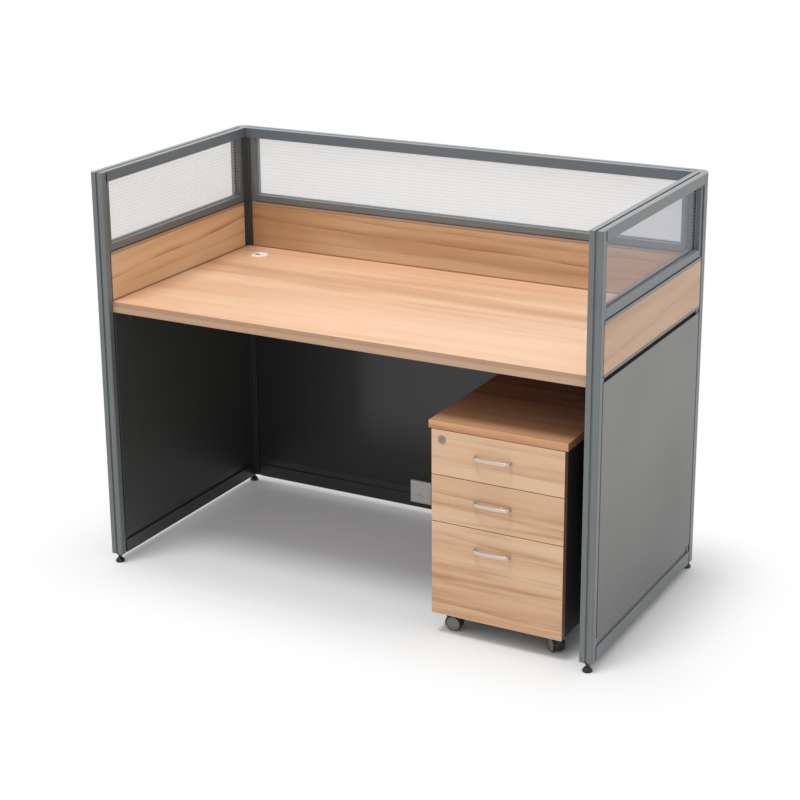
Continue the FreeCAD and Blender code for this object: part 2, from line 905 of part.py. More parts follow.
# Power outlet: a bevelled plate with two pin holes over three slots
def power_socket():
    low_x = socket_left - half_width
    z_range = (socket_base, socket_base + socket_height)
    y_back = inner_back_y - fit_gap
    y_front = y_back - socket_depth
    plate = block((low_x, low_x + socket_width), (y_front, y_back), z_range)
    rim = [
        edge
        for edge in plate.Edges
        if all(abs(vertex.Point.y - y_front) < fit_gap for vertex in edge.Vertexes)
    ]
    plate = plate.makeChamfer(socket_bevel, rim)
    inset = socket_face_inset
    face = block(
        (low_x + inset, low_x + socket_width - inset),
        (y_front - socket_face_step, y_front + socket_bevel),
        (z_range[0] + inset, z_range[1] - inset),
    )
    plate = fuse_all([plate, face])
    middle_x = low_x + socket_width / 2
    middle_z = socket_base + socket_height / 2
    hole_start = y_front - socket_face_step - cut_overrun
    hole_length = pin_hole_depth + socket_face_step + cut_overrun
    for sign in (-1, 1):
        start = vec(middle_x + sign * pin_hole_spacing / 2, hole_start, middle_z + pin_hole_rise)
        plate = plate.cut(rod(pin_hole_radius, start, Y_AXIS, hole_length))
    half_width_slot = pin_slot_width / 2
    half_length_slot = pin_slot_length / 2
    slot_places = [
        (-pin_slot_spacing, -pin_slot_drop, pin_slot_tilt),
        (pin_slot_spacing, -pin_slot_drop, -pin_slot_tilt),
        (0, -pin_slot_drop + pin_slot_length, 0),
    ]
    for aside, rise, tilt in slot_places:
        slot = block(
            (middle_x + aside - half_width_slot, middle_x + aside + half_width_slot),
            (hole_start, hole_start + hole_length),
            (middle_z + rise - half_length_slot, middle_z + rise + half_length_slot),
        )
        centre = vec(middle_x + aside, 0, middle_z + rise)
        plate = plate.cut(turned(slot, centre, Y_AXIS, tilt))
    return plate


put("power_socket", [power_socket()])

# Pedestal carcass
pedestal_x = inner_x - pedestal_side_gap - pedestal_top_width / 2
pedestal_front = front_y + pedestal_set_back
body_half = pedestal_body_width / 2
body_left = pedestal_x - body_half
body_right = pedestal_x + body_half
carcass_front = pedestal_front + front_board + front_clearance
carcass_back = pedestal_front + pedestal_depth - back_inset
under_top = pedestal_height - pedestal_top_thickness
inner_left = body_left + side_board
inner_right = body_right - side_board


def eased(solid, radius, on_edge):
    return solid.makeFillet(radius, [edge for edge in solid.Edges if on_edge(edge)])


top_half = pedestal_top_width / 2
top_board = block(
    (pedestal_x - top_half, pedestal_x + top_half),
    (pedestal_front, pedestal_front + pedestal_depth),
    (under_top, pedestal_height),
)
put("pedestal_top", [eased(top_board, board_edge_radius, lambda edge: edge.BoundBox.ZMin > pedestal_height - fit_gap)])

# The lock bar rises in a groove of the left side, just behind the cam
cam_front = pedestal_front + front_board + lock_nut_height + running_gap
bar_front = cam_front + cam_thickness + bar_from_cam
bar_back = bar_front + bar_width
bar_left = inner_left - bar_thickness - bar_groove_gap * 2
side_z = (castor_height, under_top - fit_gap)
left_side = block((body_left, inner_left), (carcass_front, carcass_back), side_z)
right_side = block((inner_right, body_right), (carcass_front, carcass_back), side_z)
bar_groove = block(
    (bar_left - bar_groove_gap, inner_left + cut_overrun),
    (bar_front - bar_groove_gap, bar_back + bar_groove_gap),
    (castor_height + bottom_board + bar_groove_spare, under_top - bar_groove_spare),
)
left_side = left_side.cut(bar_groove)
put("pedestal_sides", [left_side, right_side])
between = (inner_left + fit_gap, inner_right - fit_gap)
back_z = (castor_height, under_top - fit_gap)
put("pedestal_back", [block(between, (carcass_back - back_inset - back_board, carcass_back - back_inset), back_z)])
bottom_y = (carcass_front, carcass_back - back_inset - back_board - fit_gap)
bottom = block(between, bottom_y, (castor_height, castor_height + bottom_board))

castor_places = {
    "front_left": (body_left + castor_inset_x, pedestal_front + castor_inset_y),
    "front_right": (body_right - castor_inset_x, pedestal_front + castor_inset_y),
    "back_left": (body_left + castor_inset_x, carcass_back - castor_inset_y),
    "back_right": (body_right - castor_inset_x, carcass_back - castor_inset_y),
}
for x, y in castor_places.values():
    bore_start = vec(x, y, castor_height - cut_overrun)
    bottom = bottom.cut(rod(castor_stem_radius + shaft_gap, bore_start, Z_AXIS, castor_stem_reach + 2 * cut_overrun))
put("pedestal_bottom", [bottom])

# Drawers from the bottom up: (name, front base, front height, box rise, box height)
front_base = castor_height - front_drop
middle_base = front_base + file_front_height + front_gap
top_base = middle_base + middle_front_height + front_gap
top_front_height = under_top - front_gap - top_base
drawers = [
    ("file", front_base, file_front_height, file_box_rise, file_box_height),
    ("middle", middle_base, middle_front_height, box_rise, middle_box_height),
    ("top", top_base, top_front_height, box_rise, top_box_height),
]
box_left = inner_left + runner_thickness
box_right = inner_right - runner_thickness
box_front = pedestal_front + front_board
box_back = box_front + box_depth
lock_x = body_left + lock_inset_x
lock_z = under_top - lock_inset_z


def drawer_box(base, height):
    # Four walls and a bottom that sits in grooves, left open at the top
    top = base + height
    y_range = (box_front + fit_gap, box_back)
    left = block((box_left, box_left + box_wall), y_range, (base, top))
    right = block((box_right - box_wall, box_right), y_range, (base, top))
    inner = (box_left + box_wall + fit_gap, box_right - box_wall - fit_gap)
    front = block(inner, (y_range[0], y_range[0] + box_wall), (base, top))
    back = block(inner, (y_range[1] - box_wall, y_range[1]), (base, top))
    floor_z = (base + box_bottom_lift, base + box_bottom_lift + box_bottom)
    reach = box_wall - box_bottom_groove
    floor_size = (
        (box_left + reach, box_right - reach),
        (y_range[0] + reach, y_range[1] - reach),
        floor_z,
    )
    floor = block(*floor_size)
    grooves = block(
        (floor_size[0][0] - fit_gap, floor_size[0][1] + fit_gap),
        (floor_size[1][0] - fit_gap, floor_size[1][1] + fit_gap),
        (floor_z[0] - fit_gap, floor_z[1] + fit_gap),
    )
    walls = [wall.cut(grooves) for wall in (left, right, front, back)]
    return walls + [floor]


def runner_section(to_side, moving):
    # Across a runner: a channel on the carcass, or the slimmer member that slides inside its lips
    steel = runner_steel
    half = runner_height / 2
    depth = runner_thickness - fit_gap
    lip_inner = half - steel - runner_lip
    if not moving:
        reach = depth - steel - runner_slack - fit_gap
        half_outline = [
            (fit_gap, half),
            (reach, half),
            (reach, lip_inner),
            (reach - steel, lip_inner),
            (reach - steel, half - steel),
            (fit_gap + steel, half - steel),
        ]
    else:
        neck = lip_inner - runner_slack
        wing = half - steel - runner_slack
        inner = depth - steel - runner_slack - fit_gap - steel - runner_slack
        half_outline = [
            (depth, neck),
            (inner, neck),
            (inner, wing),
            (inner - steel, wing),
            (inner - steel, neck - steel),
            (depth - steel, neck - steel),
        ]
    below = [(a, -b) for a, b in reversed(half_outline)]
    return [(to_side * a, b) for a, b in half_outline + below]


def runner(wall_x, to_side, middle_z, y_range, moving):
    def to_point(a, b):
        return vec(wall_x + a, y_range[0], middle_z + b)

    face = Part.Face(rounded_wire(runner_section(to_side, moving), to_point))
    return face.extrude(vec(0, y_range[1] - y_range[0], 0))


def handle(centre_x, centre_z):
    # A bow of flat bar: leaning legs, rounded elbows and a slight crown
    outer_foot = handle_centres / 2 + handle_foot_width / 2
    inner_foot = handle_centres / 2 - handle_foot_width / 2
    shoulder = handle_projection - handle_crown
    bar = handle_bar_depth
    half_outer = [
        (outer_foot, 0),
        (outer_foot - handle_lean, -shoulder, handle_elbow_radius),
    ]
    half_inner = [
        (inner_foot - handle_lean, bar - shoulder, handle_elbow_radius - bar),
        (inner_foot, 0),
    ]
    crown_outer = [(0, -handle_projection, handle_crown_radius)]
    crown_inner = [(0, bar - handle_projection, handle_crown_radius)]
    left_outer = [(-a, b) + tuple(rest) for a, b, *rest in reversed(half_outer)]
    left_inner = [(-a, b) + tuple(rest) for a, b, *rest in reversed(half_inner)]
    outline = half_outer + crown_outer + left_outer + left_inner + crown_inner + half_inner
    half = handle_bar_height / 2
    bow = plan_prism(outline, (-half, half))
    return moved(bow, centre_x, pedestal_front - fit_gap / 2, centre_z)


fixed_runners = []
hook_levels = []
for name, base, height, rise, box_height in drawers:
    front = block((body_left, body_right), (pedestal_front, box_front), (base, base + height))
    front = eased(front, board_edge_radius, lambda edge: edge.BoundBox.YMax < pedestal_front + fit_gap)
    if name == "top":
        bore_start = vec(lock_x, pedestal_front - cut_overrun, lock_z)
        front = front.cut(rod(lock_body_radius + fit_gap, bore_start, Y_AXIS, front_board + 2 * cut_overrun))
    put(name + "_drawer_front", [front])
    box_base = base + rise
    middle_z = box_base + runner_rise + runner_height / 2
    moving_y = (box_front + runner_front_gap, box_back)
    fixed_y = (carcass_front + runner_front_gap / 2, box_back)
    moving = []
    for wall_x, to_side in ((inner_left, 1), (inner_right, -1)):
        fixed_runners.append(runner(wall_x, to_side, middle_z, fixed_y, False))
        moving.append(runner(wall_x, to_side, middle_z, moving_y, True))
    peg_z = box_base + peg_rise
    hook_levels.append(peg_z - peg_width / 2 - hook_below_peg)
    peg_start = vec(box_left - peg_length, bar_back + hook_peg_gap + peg_width / 2, peg_z)
    peg = six_sided(peg_width, peg_start, X_AXIS, peg_length - fit_gap)
    put(name + "_drawer_box", drawer_box(box_base, box_height) + moving + [peg])
    handle_z = base + height - handle_drop
    put(name + "_drawer_handle", [handle(pedestal_x - handle_left_shift, handle_z)])
put("drawer_runners", fixed_runners)


# Lock: a flanged housing in the drawer front, and a plug that carries the cam and its pin
def lock_housing():
    start_y = pedestal_front - fit_gap / 2
    flange = rod(lock_flange_radius, vec(lock_x, start_y, lock_z), Y_AXIS * -1, lock_flange_height)
    barrel = rod(lock_body_radius, vec(lock_x, start_y, lock_z), Y_AXIS, front_board + lock_nut_height)
    nut_start = vec(lock_x, box_front + fit_gap / 2, lock_z)
    nut = six_sided(lock_nut_width, nut_start, Y_AXIS, lock_nut_height - fit_gap)
    body = fuse_all([flange, barrel, nut])
    bore_start = vec(lock_x, start_y - lock_flange_height - cut_overrun, lock_z)
    bore_length = lock_flange_height + front_board + lock_nut_height + 2 * cut_overrun
    return body.cut(rod(lock_plug_radius + shaft_gap, bore_start, Y_AXIS, bore_length))


def lock_cylinder():
    face_y = pedestal_front - lock_flange_height
    plug = rod(lock_plug_radius, vec(lock_x, face_y, lock_z), Y_AXIS, cam_front - face_y)
    half = key_slot_width / 2
    reach = key_slot_length / 2
    slot = block(
        (lock_x - half, lock_x + half),
        (face_y - cut_overrun, face_y + key_slot_depth),
        (lock_z - reach, lock_z + reach),
    )
    plug = plug.cut(slot)
    arm_end = cam_radius + cam_half_width
    arm = block(
        (lock_x - arm_end, lock_x + cam_half_width),
        (cam_front, cam_front + cam_thickness),
        (lock_z - cam_half_width, lock_z + cam_half_width),
    )
    pin_start = vec(lock_x - cam_radius, cam_front, lock_z)
    pin = rod(cam_pin_radius, pin_start, Y_AXIS, cam_thickness + cam_pin_length)
    cam = fuse_all([arm, pin])
    cam = turned(cam, vec(lock_x, 0, lock_z), Y_AXIS, cam_start_angle)
    return fuse_all([plug, cam])


put("lock_housing", [lock_housing()])
put("lock_cylinder", [lock_cylinder()])


def lock_bar():
    # A steel strip with a slotted tab for the cam pin and a hook beside each drawer's peg
    swing = math.radians(abs(cam_start_angle))
    pin_z = lock_z - cam_radius * math.sin(swing)
    tab_top = pin_z + bar_tab_half_height
    low = min(hook_levels) - hook_height - bar_tail
    strip_x = (bar_left, bar_left + bar_thickness)
    pieces = [block(strip_x, (bar_front, bar_back), (low, tab_top))]
    tab_y = (bar_front, bar_front + bar_thickness)
    tab = block((bar_left, bar_left + bar_thickness + bar_tab_reach), tab_y, (pin_z - bar_tab_half_height, tab_top))
    slot_half = cam_pin_radius + cam_pin_slack
    pin_near = lock_x - cam_radius
    pin_far = lock_x - cam_radius * math.cos(swing)
    slot_x = (pin_near - slot_half, pin_far + slot_half)
    slot_y = (bar_front - cut_overrun, bar_front + bar_thickness + cut_overrun)
    slot = block(slot_x, slot_y, (pin_z - slot_half, pin_z + slot_half))
    pieces.append(tab.cut(slot))
    for level in hook_levels:
        hook_x = (bar_left, bar_left + bar_thickness + hook_reach)
        pieces.append(block(hook_x, (bar_back - bar_thickness, bar_back), (level - hook_height, level)))
    return fuse_all(pieces)


put("lock_bar", [lock_bar()])


# Castors, made with the stem on the Z axis and the wheels trailing along X
def hood_sector(inner, outer, half):
    # A ring segment about the axle, over the top of the wheels and down beside the stem
    def at(radius, angle):
        turn = math.radians(angle)
        return vec(castor_trail + radius * math.cos(turn), -half, wheel_radius + radius * math.sin(turn))

    middle = (hood_start_angle + hood_end_angle) / 2
    edges = []
    for radius in (outer, inner):
        edges.append(Part.Arc(at(radius, hood_start_angle), at(radius, middle), at(radius, hood_end_angle)).toShape())
    edges.insert(1, Part.makeLine(at(outer, hood_end_angle), at(inner, hood_end_angle)))
    edges.append(Part.makeLine(at(inner, hood_start_angle), at(outer, hood_start_angle)))
    ring = Part.Face(Part.Wire(Part.__sortEdges__(edges)))
    return ring.extrude(vec(0, 2 * half, 0))


def castor_fork():
    hood_inner = wheel_radius + hood_gap
    hood_outer = hood_inner + hood_wall
    half = wheel_web / 2 + running_gap + wheel_width * hood_cover_share
    hood = hood_sector(hood_inner, hood_outer, half)
    web_half = wheel_web / 2
    boss = axle_radius * axle_boss_share
    web = block(
        (castor_trail - boss, castor_trail + boss),
        (-web_half, web_half),
        (wheel_radius - boss, wheel_radius + hood_inner + hood_wall / 2),
    )
    collar_base = wheel_radius
    collar_top = castor_height - fit_gap
    collar = rod(castor_collar_radius, vec(0, 0, collar_base), Z_AXIS, collar_top - collar_base)
    space_half = castor_collar_radius + cut_overrun
    space = rod(hood_inner, vec(castor_trail, -space_half, wheel_radius), Y_AXIS, 2 * space_half)
    collar = collar.cut(space)
    stem = rod(castor_stem_radius, vec(0, 0, collar_top - cut_overrun), Z_AXIS, castor_stem_reach + cut_overrun)
    bore_half = web_half + cut_overrun
    bore = rod(axle_radius + shaft_gap, vec(castor_trail, -bore_half, wheel_radius), Y_AXIS, 2 * bore_half)
    return fuse_all([hood, web, collar, stem]).cut(bore)


def castor_wheels():
    # Two wheels pressed on one axle, which turns in the fork
    near = wheel_web / 2 + running_gap
    axle = rod(axle_radius, vec(castor_trail, -near, wheel_radius), Y_AXIS, 2 * near)
    left = rod(wheel_radius, vec(castor_trail, -near, wheel_radius), Y_AXIS * -1, wheel_width)
    right = rod(wheel_radius, vec(castor_trail, near, wheel_radius), Y_AXIS, wheel_width)
    return fuse_all([left, axle, right])


for corner, (x, y) in castor_places.items():
    turn = castor_turns[corner]
    fork = turned(castor_fork(), vec(0, 0, 0), Z_AXIS, turn)
    put("castor_fork_" + corner, [moved(fork, x, y, 0)])
    wheels = turned(castor_wheels(), vec(0, 0, 0), Z_AXIS, turn)
    put("castor_wheels_" + corner, [moved(wheels, x, y, 0)])

for name, shape in shapes.items():
    shape.exportStep("parts/" + name + ".step")
print(len(shapes), "nodes")
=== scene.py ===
import bmesh
import bpy
import json
import math
from mathutils import Matrix, Vector


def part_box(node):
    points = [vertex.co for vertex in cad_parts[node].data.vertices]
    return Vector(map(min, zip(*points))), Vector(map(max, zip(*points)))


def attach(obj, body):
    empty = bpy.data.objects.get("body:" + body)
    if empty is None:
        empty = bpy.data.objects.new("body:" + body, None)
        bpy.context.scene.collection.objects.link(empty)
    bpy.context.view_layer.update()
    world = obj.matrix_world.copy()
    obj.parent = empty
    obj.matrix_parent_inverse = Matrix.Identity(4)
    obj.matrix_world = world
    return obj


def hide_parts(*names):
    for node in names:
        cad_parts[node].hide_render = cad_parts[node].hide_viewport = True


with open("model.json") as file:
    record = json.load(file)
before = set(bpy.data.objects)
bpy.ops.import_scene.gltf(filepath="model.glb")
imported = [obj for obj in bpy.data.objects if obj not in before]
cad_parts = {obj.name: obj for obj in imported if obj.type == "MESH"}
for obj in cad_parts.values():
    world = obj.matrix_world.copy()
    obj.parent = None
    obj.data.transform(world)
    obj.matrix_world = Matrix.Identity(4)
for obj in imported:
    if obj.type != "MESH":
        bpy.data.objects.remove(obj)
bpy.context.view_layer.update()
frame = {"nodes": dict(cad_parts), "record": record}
parts = frame["nodes"]
print("frame loaded:", len(parts), "nodes")

sides = ("left", "right", "back")
corners = ("front_left", "front_right", "back_left", "back_right")
quarter = math.pi / 2
samePoint = 0.000001  # metres: points that lie closer than this become one
samePlane = 0.0001  # metres: how far off a plane a point may lie
cornerSteps = 4


def linear(red, green, blue):
    # sRGB numbers from 0 to 255 become the linear colour that a shader wants
    channels = []
    for value in (red, green, blue):
        share = value / 255
        channels.append(share / 12.92 if share <= 0.04045 else ((share + 0.055) / 1.055) ** 2.4)
    return (*channels, 1.0)


def newMaterial(name):
    finish = bpy.data.materials.new(name)
    finish.use_nodes = True
    tree = finish.node_tree
    tree.nodes.clear()
    shader = tree.nodes.new("ShaderNodeBsdfPrincipled")
    output = tree.nodes.new("ShaderNodeOutputMaterial")
    tree.links.new(shader.outputs[0], output.inputs["Surface"])
    return finish, tree, shader


def plug(tree, socket, value):
    if isinstance(value, bpy.types.NodeSocket):
        tree.links.new(value, socket)
    else:
        socket.default_value = value


def add(tree, kind, settings=None, **values):
    made = tree.nodes.new(kind)
    for key, value in (settings or {}).items():
        setattr(made, key, value)
    for key, value in values.items():
        plug(tree, made.inputs[key], value)
    return made


def calc(tree, operation, first, second=0.0):
    made = add(tree, "ShaderNodeMath", {"operation": operation})
    plug(tree, made.inputs[0], first)
    plug(tree, made.inputs[1], second)
    return made.outputs[0]


def mixColour(tree, share, first, second, blend="MIX"):
    made = add(tree, "ShaderNodeMix", {"data_type": "RGBA", "blend_type": blend})
    plug(tree, made.inputs[0], share)
    plug(tree, made.inputs[6], first)
    plug(tree, made.inputs[7], second)
    return made.outputs[2]


def spread(tree, value, low, high, newLow, newHigh):
    # Maps low..high to newLow..newHigh with soft ends
    made = add(tree, "ShaderNodeMapRange", {"interpolation_type": "SMOOTHSTEP"})
    for key, number in (("From Min", low), ("From Max", high), ("To Min", newLow), ("To Max", newHigh)):
        made.inputs[key].default_value = number
    tree.links.new(value, made.inputs["Value"])
    return made.outputs[0]


def place(tree, scale=(1, 1, 1), turn=0.0, shift=(0, 0, 0)):
    # Object coordinates, turned about Z, then moved and stretched
    coords = add(tree, "ShaderNodeTexCoord").outputs["Object"]
    turned = add(tree, "ShaderNodeMapping", Vector=coords, Rotation=(0, 0, turn)).outputs[0]
    return add(tree, "ShaderNodeMapping", Vector=turned, Location=shift, Scale=scale).outputs[0]


def noise(tree, vector, scale=1.0, detail=3.0, roughness=0.55, distortion=0.0):
    made = add(tree, "ShaderNodeTexNoise", Vector=vector, Scale=scale, Detail=detail)
    made.inputs["Roughness"].default_value = roughness
    made.inputs["Distortion"].default_value = distortion
    return made.outputs[0]


def axes(tree):
    coords = add(tree, "ShaderNodeTexCoord").outputs["Object"]
    split = add(tree, "ShaderNodeSeparateXYZ", Vector=coords)
    return split.outputs[0], split.outputs[1], split.outputs[2]


def bump(tree, shader, height, strength, distance):
    made = add(tree, "ShaderNodeBump", Height=height, Strength=strength, Distance=distance)
    tree.links.new(made.outputs[0], shader.inputs["Normal"])


def seenStraight(tree):
    # 1 for the camera, and for what metal and glass show of the white surroundings
    rays = add(tree, "ShaderNodeLightPath").outputs
    mirrored = calc(tree, "MAXIMUM", rays["Is Glossy Ray"], rays["Is Transmission Ray"])
    return calc(tree, "MAXIMUM", rays["Is Camera Ray"], mirrored)


def dress(node, finish):
    # Gives a CAD node its finish
    for slot in parts[node].material_slots:
        slot.material = finish


# Tones are sRGB numbers and lengths are metres, here and in every dictionary below
woodTones = {"pale": (240, 200, 166), "body": (229, 184, 146), "streak": (203, 149, 110), "line": (172, 92, 52)}
frontTones = {"pale": (226, 190, 156), "body": (214, 172, 138), "streak": (192, 140, 102), "line": (150, 94, 62)}
woodLook = {
    "streakWidth": 0.045, "streakLength": 1.1, "fineScale": (9.0, 330.0, 330.0), "poreScale": (38.0, 1500.0, 1500.0),
    "figureScale": (0.3, 6.0, 6.0), "figureBend": 6.0, "grain": 0.16, "pore": 0.10, "gloss": 0.38, "glossSpread": 0.14,
    "specular": 0.35, "bump": 0.12, "bumpDepth": 0.0003,
}
# Three layers of streaks: how fast each changes along and across the grain, its noise, and how strongly it shows
streakLayers = {
    "wide": {"pace": (0.6, 0.35), "noise": (2.0, 0.5, 0.3), "shown": (0.35, 0.65, 0, 1)},
    "broad": {"pace": (1.0, 0.8), "noise": (3.0, 0.55, 0.5), "shown": (0.48, 0.72, 0, 0.95)},
    "narrow": {"pace": (1.4, 2.6), "noise": (3.0, 0.6, 0.6), "shown": (0.52, 0.78, 0, 0.5)},
}
veinLook = {
    "line": 0.0026, "glow": 0.017, "glowShare": 0.5, "wander": 0.030, "waves": 2.3,
    "gaps": 4.0, "gapRange": (0.35, 0.6), "faintest": 0.25, "apart": 40,
}


def veinShare(tree, turn, shift, height, slope):
    # A wavering growth line across a board: thin and dark, with a soft glow above it
    values = axes(tree)
    along = values[1] if turn else values[0]
    wave = noise(tree, place(tree, (veinLook["waves"], 0, 0), turn, shift), 1.0, 3.0, 0.45)
    path = calc(tree, "ADD", calc(tree, "MULTIPLY", along, slope), height - veinLook["wander"] / 2)
    path = calc(tree, "ADD", path, calc(tree, "MULTIPLY", wave, veinLook["wander"]))
    away = calc(tree, "SUBTRACT", values[2], path)
    line = spread(tree, calc(tree, "ABSOLUTE", away), 0, veinLook["line"], 1, 0)
    above = spread(tree, away, 0, veinLook["glow"], veinLook["glowShare"], 0)
    above = calc(tree, "MULTIPLY", above, calc(tree, "GREATER_THAN", away, 0))
    uneven = noise(tree, place(tree, (veinLook["gaps"], 0, 0), turn, shift), 1.0, 2.0)
    strength = spread(tree, uneven, *veinLook["gapRange"], veinLook["faintest"], 1)
    return calc(tree, "MULTIPLY", calc(tree, "MAXIMUM", line, above), strength)


def woodFinish(name, turn, shift, tone, streaks, lines, paint=None, width=1.0, veins=(), tones=woodTones):
    # Beech-look laminate: the grain runs along X, or along Y where turn is a quarter
    finish, tree, shader = newMaterial(name)
    pale, body, streak, line = [
        (*[value * share for value, share in zip(linear(*tones[key]), tone)], 1.0)
        for key in ("pale", "body", "streak", "line")
    ]
    across = 1 / (woodLook["streakWidth"] * width)
    along = 1 / woodLook["streakLength"]
    layers, shown = {}, {}
    for key, layer in streakLayers.items():
        scale = (along * layer["pace"][0], across * layer["pace"][1], across * layer["pace"][1])
        layers[key] = noise(tree, place(tree, scale, turn, shift), 1.0, *layer["noise"])
        shown[key] = spread(tree, layers[key], *layer["shown"])
    fine = noise(tree, place(tree, woodLook["fineScale"], turn, shift), 1.0, 3.0, 0.65)
    pores = noise(tree, place(tree, woodLook["poreScale"], turn, shift), 1.0, 2.0, 0.5)
    figure = add(
        tree, "ShaderNodeTexWave", {"wave_type": "BANDS", "bands_direction": "Y"},
        Vector=place(tree, woodLook["figureScale"], turn, shift),
        Scale=1.2, Distortion=woodLook["figureBend"], Detail=1.5,
    )
    figure.inputs["Detail Scale"].default_value = 0.6
    colour = mixColour(tree, shown["wide"], pale, body)
    for key in ("broad", "narrow"):
        colour = mixColour(tree, calc(tree, "MULTIPLY", shown[key], streaks), colour, streak)
    lineShare = spread(tree, figure.outputs[1], 0.9, 1.0, 0, 0.8)
    lineShare = calc(tree, "MULTIPLY", lineShare, spread(tree, layers["broad"], 0.42, 0.6, 0.05, 0.9))
    colour = mixColour(tree, calc(tree, "MULTIPLY", lineShare, lines), colour, line)
    for height, slope, strength in veins:
        ownShift = (shift[0] + height * veinLook["apart"], 0, 0)
        share = calc(tree, "MULTIPLY", veinShare(tree, turn, ownShift, height, slope), strength)
        colour = mixColour(tree, share, colour, line)
    grain = calc(tree, "ADD", calc(tree, "MULTIPLY", fine, woodLook["grain"]), 1 - woodLook["grain"] / 2)
    dark = spread(tree, pores, 0.62, 0.8, 1.0, 1.0 - woodLook["pore"])
    shade = calc(tree, "MULTIPLY", grain, dark)
    grey = add(tree, "ShaderNodeCombineXYZ")
    for index in range(3):
        tree.links.new(shade, grey.inputs[index])
    colour = mixColour(tree, 1.0, colour, grey.outputs[0], "MULTIPLY")
    if paint:
        colour = paint(tree, colour)
    tree.links.new(colour, shader.inputs["Base Color"])
    glossSpread = woodLook["glossSpread"]
    rough = calc(tree, "ADD", calc(tree, "MULTIPLY", fine, glossSpread), woodLook["gloss"] - glossSpread / 2)
    tree.links.new(rough, shader.inputs["Roughness"])
    shader.inputs["Specular IOR Level"].default_value = woodLook["specular"]
    relief = calc(tree, "ADD", pores, calc(tree, "MULTIPLY", fine, 0.8))
    bump(tree, shader, relief, woodLook["bump"], woodLook["bumpDepth"])
    return finish


def between(tree, value, low, high):
    return calc(tree, "MULTIPLY", calc(tree, "GREATER_THAN", value, low), calc(tree, "LESS_THAN", value, high))


def faded(axis, low, high, tone, share):
    # Painted light or shade: the laminate goes paler or darker towards one end of a board, where more or less light
    # falls on it
    def paint(tree, colour):
        along = spread(tree, axes(tree)[axis], low, high, 0, share)
        return mixColour(tree, along, colour, linear(*tone))
    return paint


def longStreak(centre, slope, half, tone, share):
    # One broad, wavering streak that runs the whole length of a level board
    streak = {"waves": 1.7, "fibres": (1.2, 55, 55), "thinnest": 0.6}

    def paint(tree, colour):
        along, depth = axes(tree)[:2]
        wave = noise(tree, place(tree, (streak["waves"], 0, 0)), 1.0, 3.0)
        path = calc(tree, "ADD", calc(tree, "MULTIPLY", along, slope), centre - half / 2)
        path = calc(tree, "ADD", path, calc(tree, "MULTIPLY", wave, half))
        away = calc(tree, "ABSOLUTE", calc(tree, "SUBTRACT", depth, path))
        inside = spread(tree, away, 0, half, share, 0)
        fibres = noise(tree, place(tree, streak["fibres"]), 1.0, 3.0)
        broken = spread(tree, fibres, 0.35, 0.6, streak["thinnest"], 1)
        return mixColour(tree, calc(tree, "MULTIPLY", inside, broken), colour, linear(*tone))
    return paint


def inTurn(*paints):
    # Several paints on one board, the last on top
    def paint(tree, colour):
        for step in paints:
            colour = step(tree, colour)
        return colour
    return paint


def painted(*areas):
    # Each area is a share, a colour and a range along some axes: edging and seams, or painted light and shade such as
    # highlights along the edges of the fronts, the dark bottom face of the desk and shaded or lit faces of the frame.
    # An end of a range at -1, 2 or 9 lies outside the object and sets no limit.
    def paint(tree, colour):
        values = axes(tree)
        for share, tone, ranges in areas:
            inside = share
            for axis, low, high in ranges:
                inside = calc(tree, "MULTIPLY", between(tree, values[axis], low, high), inside)
            colour = mixColour(tree, inside, colour, linear(*tone))
        return colour
    return paint


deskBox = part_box("desk_top")
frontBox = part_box("file_drawer_front")
edging = {
    "desk": (168, 139, 114), "deskSkin": 0.0006, "deskHigh": (150, 108, 82), "deskHighHeights": (0.7365, 0.7492),
    "deskMiddle": (192, 160, 130), "deskMiddleHeights": (0.7275, 0.734), "paintedUndersideShade": (112, 64, 40),
    "longStreak": (211, 163, 126), "paintedLightEnd": (255, 222, 194),
    "backPaintedShade": (163, 115, 72), "leftPaintedShade": (214, 170, 129),
    "frontSkin": 0.0005, "frontEdge": 0.0008, "frontSide": (165, 118, 90), "sideSkin": 0.0003,
    "paleFront": (241, 208, 174), "arrisHighlight": (246, 214, 186), "arrisWidth": 0.0013,
}
deskFront, deskBase = deskBox[0].y + edging["deskSkin"], deskBox[0].z + edging["deskSkin"]
frontPlane, frontRight, frontLow = frontBox[0].y + edging["frontSkin"], frontBox[1].x, frontBox[0].z
deskWood = woodFinish(
    "deskLaminate", 0, (0.2, 0.35, 0.1), (1.07, 1.07, 1.08), streaks=0.6, lines=0.12, width=1.5,
    paint=inTurn(
        # Painted light: the desk is paler towards its right end
        faded(0, -0.1, 0.7, edging["paintedLightEnd"], 0.4),
        longStreak(0.088, -0.035, 0.055, edging["longStreak"], 0.85),
        longStreak(-0.075, -0.05, 0.022, edging["longStreak"], 0.22),
        painted(
            (0.72, edging["desk"], [(1, -1, deskFront)]),
            (0.35, edging["deskHigh"], [(1, -1, deskFront), (2, *edging["deskHighHeights"])]),
            (0.35, edging["deskMiddle"], [(1, -1, deskFront), (2, *edging["deskMiddleHeights"])]),
            # Painted shade: the desk's bottom face is dark for the shade under it, which also dims the light it throws
            # onto the pedestal top
            (1.0, edging["paintedUndersideShade"], [(2, 0, deskBase)]),
        ),
    ),
)
